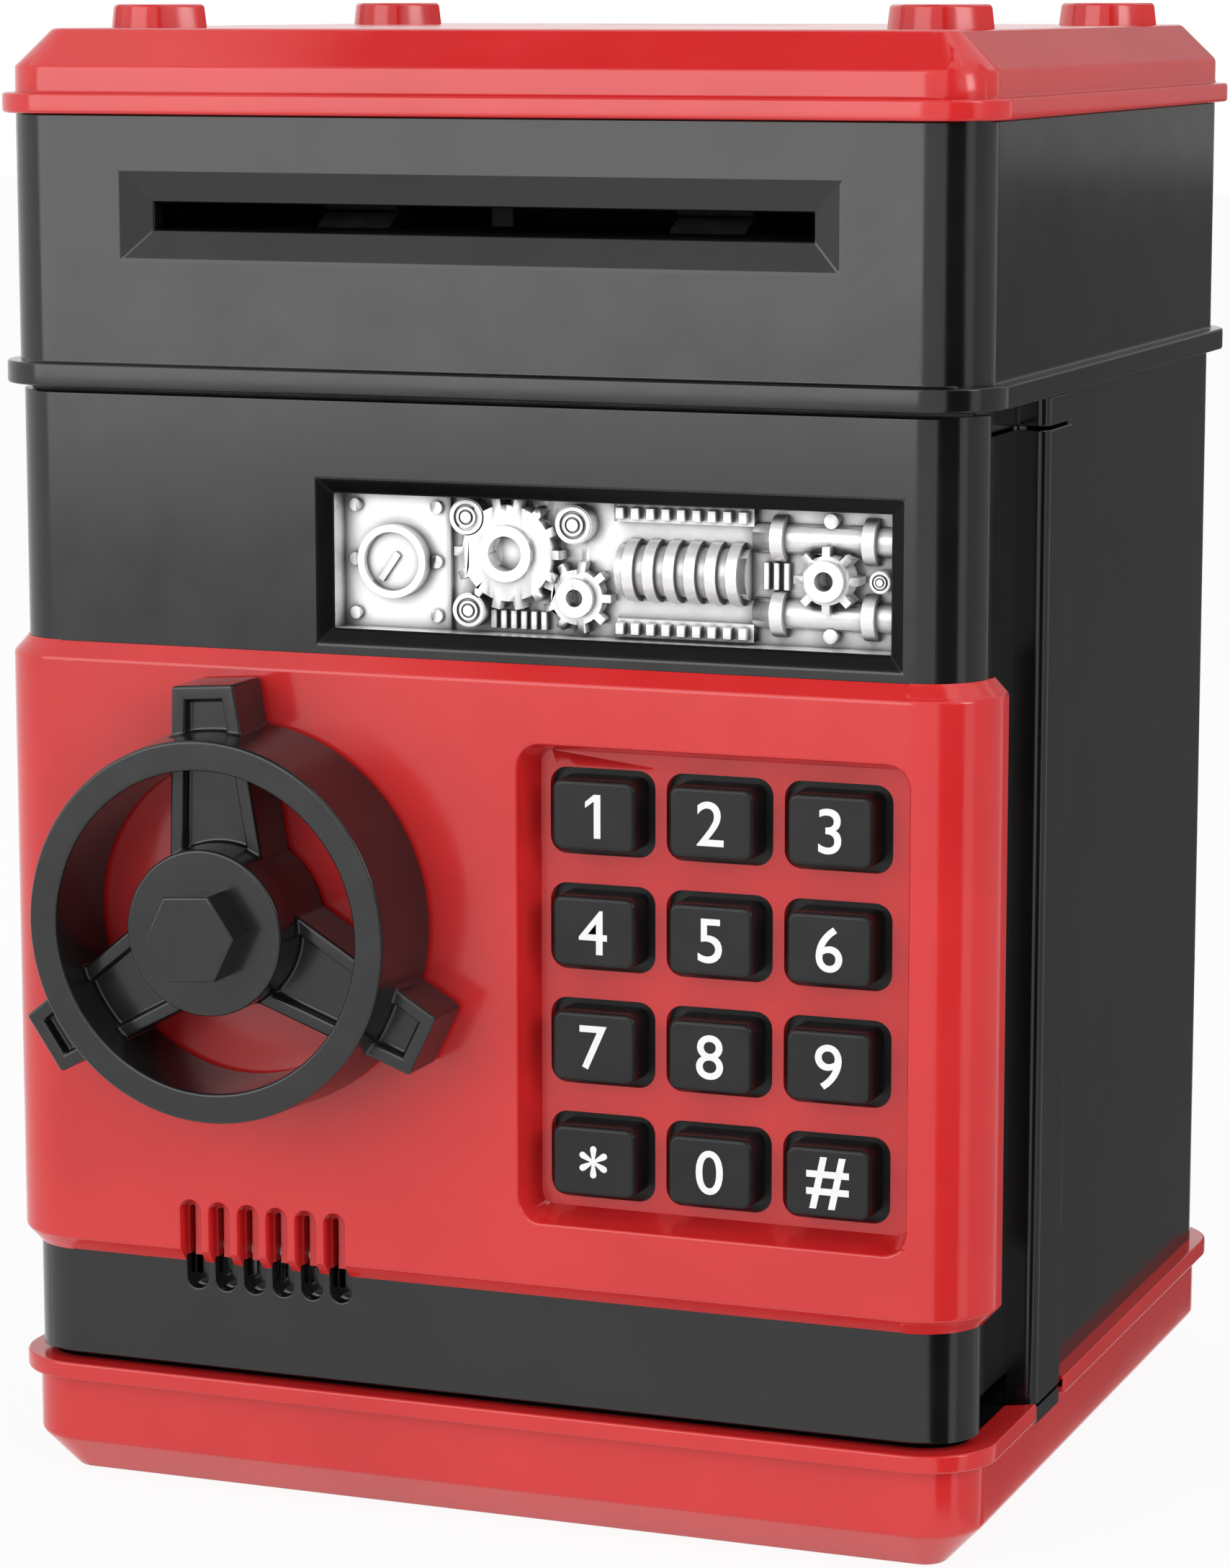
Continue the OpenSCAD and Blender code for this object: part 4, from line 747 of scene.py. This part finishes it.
# %% Brushed or drawn metal
drawn, drawn_in, drawn_out = new_group("drawn_metal", [("Fineness", 900)], ["Lines", "Tarnish"])
coords = add(drawn, "ShaderNodeTexCoord")
stretch = add(drawn, "ShaderNodeMapping")
stretch.inputs["Scale"].default_value = (0.06, 1, 1)
lines = add(drawn, "ShaderNodeTexNoise", in_3=3.0, in_4=0.6)
tarnish = add(drawn, "ShaderNodeTexNoise", in_2=120.0, in_3=4.0, in_4=0.6)
link(drawn, coords, "Object", stretch, "Vector")
link(drawn, stretch, 0, lines, "Vector")
link(drawn, coords, "Object", tarnish, "Vector")
link(drawn, drawn_in, "Fineness", lines, "Scale")
link(drawn, lines, 0, drawn_out, "Lines")
link(drawn, tarnish, 0, drawn_out, "Tarnish")
print(drawn.name, len(drawn.nodes), "nodes")

# %% [markdown]
# ## Finishes
# Each finish keeps its own Principled shader. The groups above only give masks: they mix two
# near colours, move the roughness a little, and feed a faint bump. The difference between the
# two colours is small on purpose, because a new toy is clean and even.

# %% Finish helpers
def shader_of(name):
    """A new material, its node tree and its shader."""
    finish = bpy.data.materials.new(name)
    finish.use_nodes = True
    tree = finish.node_tree
    return finish, tree, tree.nodes["Principled BSDF"]


def group_in(tree, group, **values):
    """Puts a shared group in a material; Flow_scale=38 sets its input 'Flow scale'."""
    node = add(tree, "ShaderNodeGroup", node_tree=group)
    for label, value in values.items():
        node.inputs[label.replace("_", " ")].default_value = value
    return node


def blend_by(tree, mask, out, shader, dark, light, low=0.35, high=0.65):
    """A mask from low to high runs the colour from dark to light."""
    ramp = add(tree, "ShaderNodeValToRGB")
    ramp.color_ramp.elements[0].position = low
    ramp.color_ramp.elements[1].position = high
    ramp.color_ramp.elements[0].color = (*dark, 1)
    ramp.color_ramp.elements[1].color = (*light, 1)
    link(tree, mask, out, ramp, "Fac")
    if shader:
        link(tree, ramp, "Color", shader, "Base Color")
    return ramp


def vary(tree, mask, out, shader, low, high, into="Roughness"):
    """A mask from 0.3 to 0.7 moves one value from low to high."""
    spread = add(tree, "ShaderNodeMapRange", in_1=0.3, in_2=0.7, in_3=low, in_4=high)
    link(tree, mask, out, spread, 0)
    link(tree, spread, 0, shader, into)


def emboss(tree, mask, out, shader, depth):
    """A mask as a bump of a true depth in metres."""
    bump = add(tree, "ShaderNodeBump")
    bump.inputs["Strength"].default_value = 1.0
    bump.inputs["Distance"].default_value = depth
    link(tree, mask, out, bump, "Height")
    link(tree, bump, "Normal", shader, "Normal")


def moulded(name, dark, light, gloss, peel_depth, specular=0.5, flow_scale=38.0):
    """Injection-moulded plastic: two near colours, a gloss range and a fine peel."""
    finish, tree, shader = shader_of(name)
    shader.inputs["Specular IOR Level"].default_value = specular
    mask = group_in(tree, skin, Flow_scale=flow_scale, Peel_scale=2600.0)
    blend_by(tree, mask, "Flow", shader, dark, light)
    vary(tree, mask, "Gloss patches", shader, *gloss)
    emboss(tree, mask, "Peel", shader, peel_depth)
    return finish


def metal(name, dark, light, gloss, line_depth, fineness=900.0):
    """Plated or drawn metal: tarnish in the colour, drawing lines in the bump."""
    finish, tree, shader = shader_of(name)
    shader.inputs["Metallic"].default_value = 1.0
    mask = group_in(tree, drawn, Fineness=fineness)
    blend_by(tree, mask, "Tarnish", shader, dark, light)
    vary(tree, mask, "Lines", shader, *gloss)
    emboss(tree, mask, "Lines", shader, line_depth)
    return finish


print(len(bpy.data.node_groups), "shared groups")

# %% [markdown]
# ### Plastics
# Red and black are the same glossy styrene with another pigment. The black is nearly 0, because
# the greys of the real case are all reflections. The keys are moulded from a duller mix, so they
# stay dark where the case shines.

# %% Plastics
finishes = {
    "red_plastic": moulded("red_plastic", (0.6, 0.018, 0.02), (0.66, 0.024, 0.025),
                           (0.12, 0.19), 0.0012 * mm, specular=0.62),
    "dark_plastic": moulded("black_plastic", (0.005, 0.005, 0.0052), (0.008, 0.008, 0.0082),
                            (0.12, 0.19), 0.001 * mm, specular=0.57),
    "wheel_plastic": moulded("wheel_plastic", (0.008, 0.008, 0.0085), (0.012, 0.012, 0.0125),
                             (0.16, 0.24), 0.001 * mm, specular=0.55, flow_scale=90.0),
    "key_plastic": moulded("key_plastic", (0.009, 0.009, 0.01), (0.013, 0.013, 0.014),
                           (0.3, 0.38), 0.0015 * mm, specular=0.3, flow_scale=160.0),
}
ink_finish = moulded("key_ink", (0.84, 0.84, 0.84), (0.9, 0.9, 0.9), (0.4, 0.5), 0.002 * mm,
                     flow_scale=900.0)
print(sorted(finishes))

# %% [markdown]
# ### Silver paint
# The relief is sprayed silver: between metal and paint. Its recesses get painted shade:
# ambient occlusion finds them, and the colour is mixed towards dark grey there, so that the
# tops stay bright and the hollows read grey. It looks only at the piece itself.

# %% Silver paint
silver, tree, shader = shader_of("silver_paint")
mask = group_in(tree, skin, Flow_scale=240.0, Peel_scale=5200.0)
paint = blend_by(tree, mask, "Flow", None, (0.84, 0.84, 0.85), (0.92, 0.92, 0.93))
# painted shade: occlusion darkens the silver towards grey in the relief's recesses
shade_occlusion = add(tree, "ShaderNodeAmbientOcclusion", samples=8, only_local=True)
shade_occlusion.inputs["Distance"].default_value = 2.2 * mm
painted_shade = add(tree, "ShaderNodeMapRange", in_1=0.4, in_2=0.9, in_3=1.0, in_4=0.0)
link(tree, shade_occlusion, "AO", painted_shade, 0)
shade_mix = add(tree, "ShaderNodeMix", data_type="RGBA")
shade_mix.inputs[7].default_value = (0.12, 0.12, 0.125, 1)
link(tree, painted_shade, 0, shade_mix, 0)
tree.links.new(paint.outputs["Color"], shade_mix.inputs[6])
tree.links.new(shade_mix.outputs[2], shader.inputs["Base Color"])
vary(tree, mask, "Gloss patches", shader, 0.26, 0.36)
vary(tree, mask, "Peel", shader, 0.3, 0.5, into="Metallic")
emboss(tree, mask, "Peel", shader, 0.0016 * mm)
finishes["silver_plastic"] = silver

# %% [markdown]
# ### Metals
# What shows when the door is open needs finishes too. Screws, rods and the latch are zinc-plated
# steel, and the motor's can is bright rolled sheet. The battery contacts are brass and the lock's
# coil is copper wire, near enough in colour to share one warm metal. All three are the same
# drawn metal with other colours and another fineness.

# %% Metals
finishes["steel"] = metal("zinc_steel", (0.42, 0.43, 0.45), (0.62, 0.62, 0.63), (0.22, 0.42),
                          0.002 * mm)
finishes["motor_can"] = metal("motor_can", (0.55, 0.55, 0.56), (0.72, 0.72, 0.73), (0.2, 0.34),
                              0.0015 * mm, fineness=1400.0)
finishes["brass"] = metal("copper_and_brass", (0.55, 0.33, 0.14), (0.8, 0.56, 0.26), (0.25, 0.45),
                          0.004 * mm, fineness=2600.0)

print("metals", [finishes[name].name for name in ("steel", "motor_can", "brass")])

# %% [markdown]
# ### Acetal and rubber
# Small gears are moulded from natural acetal, an off-white, slippery plastic. The feed rollers
# are matt rubber: hardly any mirror, a high roughness and a coarser peel.

# %% Acetal and rubber
finishes["gear_plastic"] = moulded("acetal", (0.74, 0.72, 0.66), (0.82, 0.8, 0.75), (0.35, 0.45),
                                   0.003 * mm, flow_scale=200.0)
rubber, tree, shader = shader_of("rubber")
shader.inputs["Specular IOR Level"].default_value = 0.3
mask = group_in(tree, skin, Flow_scale=300.0, Peel_scale=4200.0)
blend_by(tree, mask, "Flow", shader, (0.05, 0.05, 0.052), (0.085, 0.085, 0.088))
vary(tree, mask, "Gloss patches", shader, 0.62, 0.8)
emboss(tree, mask, "Peel", shader, 0.02 * mm)
finishes["rubber"] = rubber
print(len(finishes), "finishes so far")

# %% [markdown]
# ### Circuit board
# The board is green lacquer over copper tracks. A brick pattern can stand for the tracks: its
# joints are paler, and a faint bump lifts them, as the lacquer does over real copper.

# %% Circuit board
board, tree, shader = shader_of("circuit_board")
shader.inputs["Coat Weight"].default_value = 0.4
shader.inputs["Coat Roughness"].default_value = 0.15
coords = add(tree, "ShaderNodeTexCoord")
upright = add(tree, "ShaderNodeMapping")
upright.inputs["Rotation"].default_value = (math.radians(90), 0, 0)
tracks = add(tree, "ShaderNodeTexBrick", offset=0.37, squash=1.6, squash_frequency=3)
for label, value in {"Scale": 210.0, "Mortar Size": 0.045, "Mortar Smooth": 0.25,
                     "Brick Width": 0.9, "Row Height": 0.34}.items():
    tracks.inputs[label].default_value = value
tracks.inputs["Color1"].default_value = (0.018, 0.13, 0.055, 1)
tracks.inputs["Color2"].default_value = (0.024, 0.16, 0.07, 1)
tracks.inputs["Mortar"].default_value = (0.12, 0.3, 0.09, 1)
link(tree, coords, "Object", upright, "Vector")
link(tree, upright, 0, tracks, "Vector")
link(tree, tracks, "Color", shader, "Base Color")
mask = group_in(tree, skin, Flow_scale=120.0)
vary(tree, mask, "Gloss patches", shader, 0.3, 0.42)
emboss(tree, tracks, "Fac", shader, 0.03 * mm)
finishes["circuit_board"] = board
print("tracks", len(tree.nodes), "nodes")

# %% [markdown]
# ### Battery sleeve
# The cells wear a plain sleeve of shrunk film in dark green, with a copper band and bare metal
# at the ends. The bands lie at set distances from the cell's middle, so the Object coordinate
# along X picks the colour, through a ramp without blending.

# %% Battery sleeve
sleeve, tree, shader = shader_of("battery_sleeve")
shader.inputs["Coat Weight"].default_value = 0.6
shader.inputs["Coat Roughness"].default_value = 0.1
coords = add(tree, "ShaderNodeTexCoord")
split = add(tree, "ShaderNodeSeparateXYZ")
link(tree, coords, "Object", split, 0)
band = add(tree, "ShaderNodeMath", operation="ABSOLUTE")
link(tree, split, "X", band, 0)
wide = add(tree, "ShaderNodeMapRange", in_1=0.0, in_2=25.2 * mm, in_3=0.0, in_4=1.0)
link(tree, band, 0, wide, 0)
ramp = blend_by(tree, wide, 0, shader, (0.03, 0.11, 0.07), (0.62, 0.62, 0.63), 0.66, 0.97)
ramp.color_ramp.interpolation = "CONSTANT"
ends = ramp.color_ramp.elements.new(0.7)
ends.color = (0.45, 0.3, 0.1, 1)
mask = group_in(tree, skin, Flow_scale=90.0)
vary(tree, mask, "Gloss patches", shader, 0.25, 0.35)
finishes["cell_wrap"] = sleeve
print(len(finishes), "finishes")

# %% [markdown]
# ## Put each finish on its pieces
# The record names a finish for every node, so one loop serves the solids that stay and the
# pieces that stand for one. A solid's shape is never touched: only its material slot changes.
# What one sees through the note slot is matt, so that the slot stays a black gap.

# %% Assign
def clothe(thing, finish):
    """Leaves the thing with this one material."""
    thing.data.materials.clear()
    thing.data.materials.append(finish)


matt_black = moulded("matt_black", (0.008, 0.008, 0.008), (0.012, 0.012, 0.012), (0.6, 0.75),
                     0.004 * mm, specular=0.15)
in_the_slot = ("note_lever", "upper_note_guide", "lower_note_guide")
for name, node in frame["nodes"].items():
    clothe(node, matt_black if name in in_the_slot else finishes[slot_of[name]])
pieces = [base, lid, case_body, head, door_shell, door_front, hinge, wheel, bolt, relief]
for piece in pieces + list(keys.values()):
    clothe(piece, finishes[piece["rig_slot"]])
for figure in figures:
    clothe(figure, ink_finish)
print(len(pieces) + len(keys) + len(figures), "pieces dressed")


# %% [markdown]
# ### The window's slope
# The slope round the window gets painted shade: a darker, less glossy copy of the door's black
# that frames the relief in deep black. It is part of the same moulding, so this second material
# goes on the same piece, on the faces that are found by their place and direction.

# %% A second finish on some faces
def refinish(piece, finish, where):
    """Gives the faces that pass 'where' (centre in mm, normal) a second finish."""
    take(piece)
    bpy.ops.object.material_slot_add()
    piece.material_slots[-1].material = finish
    bpy.ops.object.mode_set(mode="EDIT")
    bpy.ops.mesh.select_mode(type="FACE")
    bpy.ops.mesh.select_all(action="DESELECT")
    bm = bmesh.from_edit_mesh(piece.data)
    count = 0
    for face in bm.faces:
        if where(face.calc_center_median() / mm, face.normal):
            face.select_set(True)
            count += 1
    bmesh.update_edit_mesh(piece.data)
    bpy.ops.object.material_slot_assign()
    bpy.ops.object.mode_set(mode="OBJECT")
    print(piece.name, count, "faces in", finish.name)


window_x, window_z = 17.4, 122.95
# painted shade: the window's slope is made darker and duller than the rest of the door
bezel_painted_shade = moulded("bezel_painted_shade", (0.002, 0.002, 0.002), (0.004, 0.004, 0.004), (0.25, 0.35),
                     0.001 * mm, specular=0.12)
refinish(door_shell, bezel_painted_shade, lambda c, n: abs(c.x - window_x) < 38.6
         and abs(c.z - window_z) < 10.5 and c.y < -58 and n.y > -0.97)

# %% [markdown]
# ## White surroundings
# The photograph has a white ground that gives off hardly any light of its own. The world is
# therefore white to the camera and to reflections, and dimmer where it only fills the shadows.
# The Light Path node tells these rays apart.

# %% World
world = bpy.data.worlds.new("studio")
scene.world = world
world.use_nodes = True
tree = world.node_tree
paper = tree.nodes["Background"]
paper.inputs["Color"].default_value = (1, 1, 1, 1)
paper.inputs["Strength"].default_value = 1.0
fill = add(tree, "ShaderNodeBackground")
fill.inputs["Color"].default_value = (1, 1, 1, 1)
fill.inputs["Strength"].default_value = 0.56
rays = add(tree, "ShaderNodeLightPath")
seen = add(tree, "ShaderNodeMath", operation="MAXIMUM")
mirrored = add(tree, "ShaderNodeMath", operation="MAXIMUM")
link(tree, rays, "Is Glossy Ray", mirrored, 0)
link(tree, rays, "Is Transmission Ray", mirrored, 1)
link(tree, rays, "Is Camera Ray", seen, 0)
link(tree, mirrored, 0, seen, 1)
choose = add(tree, "ShaderNodeMixShader")
link(tree, seen, 0, choose, 0)
link(tree, fill, 0, choose, 1)
link(tree, paper, 0, choose, 2)
link(tree, choose, 0, tree.nodes["World Output"], "Surface")
scene.view_settings.view_transform = "Standard"
print("world, fill", round(fill.inputs["Strength"].default_value, 2))

# %% [markdown]
# ## Floor
# The bank stands on plain pale paper that takes its shadow. Where the camera or a reflection
# looks, most of the paper's brightness is its own, which keeps it as white as the world, and the
# rest comes from the lamps, which keeps the shadow.

# %% Floor
bpy.ops.object.select_all(action="DESELECT")
bpy.ops.mesh.primitive_plane_add(size=8, location=(0, 0, 0))
floor = bpy.context.active_object
floor.name = "floor"
paper_white, tree, shader = shader_of("paper_floor")
shader.inputs["Base Color"].default_value = (0.93, 0.93, 0.93, 1)
shader.inputs["Roughness"].default_value = 0.6
shader.inputs["Specular IOR Level"].default_value = 0.2
glow = add(tree, "ShaderNodeEmission")
glow.inputs["Color"].default_value = (1, 1, 1, 1)
rays = add(tree, "ShaderNodeLightPath")
seen = add(tree, "ShaderNodeMath", operation="MAXIMUM")
share = add(tree, "ShaderNodeMath", operation="MULTIPLY", in_1=0.92)
link(tree, rays, "Is Camera Ray", seen, 0)
link(tree, rays, "Is Glossy Ray", seen, 1)
link(tree, seen, 0, share, 0)
mix = add(tree, "ShaderNodeMixShader")
link(tree, share, 0, mix, 0)
link(tree, shader, 0, mix, 1)
link(tree, glow, 0, mix, 2)
link(tree, mix, 0, tree.nodes["Material Output"], "Surface")
clothe(floor, paper_white)
print("floor", [round(v) for v in floor.dimensions], "m")


# %% [markdown]
# ## Cards that only reflections see
# Glossy black looks like what it mirrors. In the photograph the fronts mirror a wide lamp and
# are mid grey. The right side is nearly black, the lid's right side a little brighter, and the
# round corner has a black band and a pale one. A photographer gets such bands with cards of
# black and grey paper beside the object, and so do we; they are out of the picture.

# %% Cards
def card(name, corners, faces, finish):
    """A card that reflections see and the camera doesn't."""
    mesh = bpy.data.meshes.new(name)
    mesh.from_pydata(corners, [], faces)
    thing = bpy.data.objects.new(name, mesh)
    scene.collection.objects.link(thing)
    clothe(thing, finish)
    thing.visible_camera = False
    thing.visible_shadow = False
    thing.visible_diffuse = False
    return thing


def card_finish(name, glow):
    """A card's own brightness: 0 is black velvet, 1 is white paper under the lamps."""
    finish, tree, shader = shader_of(name)
    shader.inputs["Base Color"].default_value = (0.004, 0.004, 0.004, 1)
    shader.inputs["Roughness"].default_value = 0.9
    shader.inputs["Specular IOR Level"].default_value = 0.0
    shader.inputs["Emission Color"].default_value = (1, 1, 1, 1)
    shader.inputs["Emission Strength"].default_value = glow
    return finish


def screen(name, degrees, finish):
    """A card that fans out on the floor from the front right corner, then stands up."""
    near, far, top = 0.02, 0.6, 0.6
    corners = []
    for reach, height in ((near, on_floor), (far, on_floor), (far, top)):
        for angle in degrees:
            corners.append((corner[0] + reach * math.cos(math.radians(angle)),
                            corner[1] + reach * math.sin(math.radians(angle)), height))
    return card(name, corners, [(0, 1, 3, 2), (2, 3, 5, 4)], finish)


on_floor = 0.6 * mm
corner = (0.0645, -0.06)
black_card = card_finish("black_card", 0.0)
side_card = card_finish("side_card", 0.13)
lid_card = card_finish("lid_card", 0.36)
corner_card = card_finish("corner_card", 0.5)
left, right, back, split_z, top_z = 0.0, 0.4, 0.55, 0.151, 0.5
card("side_screen", [(0.069, -0.05, on_floor), (right, back, on_floor), (left, back, on_floor),
                     (0.069, 0.2, on_floor), (right, back, split_z), (left, back, split_z)],
     [(0, 1, 2, 3), (1, 4, 5, 2)], side_card)
card("lid_screen", [(right, back, split_z), (right, back, top_z), (left, back, top_z),
                    (left, back, split_z)], [(0, 1, 2, 3)], lid_card)
screen("corner_screen", (-58, -20), black_card)
screen("strip_screen", (-4, 56), corner_card)
card("card_above", [(-0.4, -0.45, 1.0), (0.4, -0.45, 1.0), (0.4, 0.05, 1.0), (-0.4, 0.05, 1.0)],
     [(0, 1, 2, 3)], black_card)


# %% [markdown]
# ## Lamps
# A wide lamp at the front left is what the black fronts mirror. A large weak one above lights
# the lid without a hard shadow, and one far to the right lifts the red sides and the wheel's
# right. All three are at a plain level, so that the finishes keep their true colours.

# %% Lamps
def softbox(name, place, width, height, watts):
    """A lamp panel that faces the bank."""
    data = bpy.data.lights.new(name, "AREA")
    data.shape = "RECTANGLE"
    data.size, data.size_y = width, height
    data.energy = watts
    lamp = bpy.data.objects.new(name, data)
    scene.collection.objects.link(lamp)
    lamp.location = place
    aim = Vector((0, 0, 0.09)) - Vector(place)
    lamp.rotation_euler = aim.to_track_quat("-Z", "Y").to_euler()
    return lamp


softbox("key_lamp", (-0.62, -1.15, 0.5), 1.2, 1.1, 8.5)
softbox("top_lamp", (0.1, -0.1, 1.25), 1.0, 1.0, 1.5)
softbox("right_lamp", (1.1, -0.45, 0.65), 0.7, 0.5, 5.0)
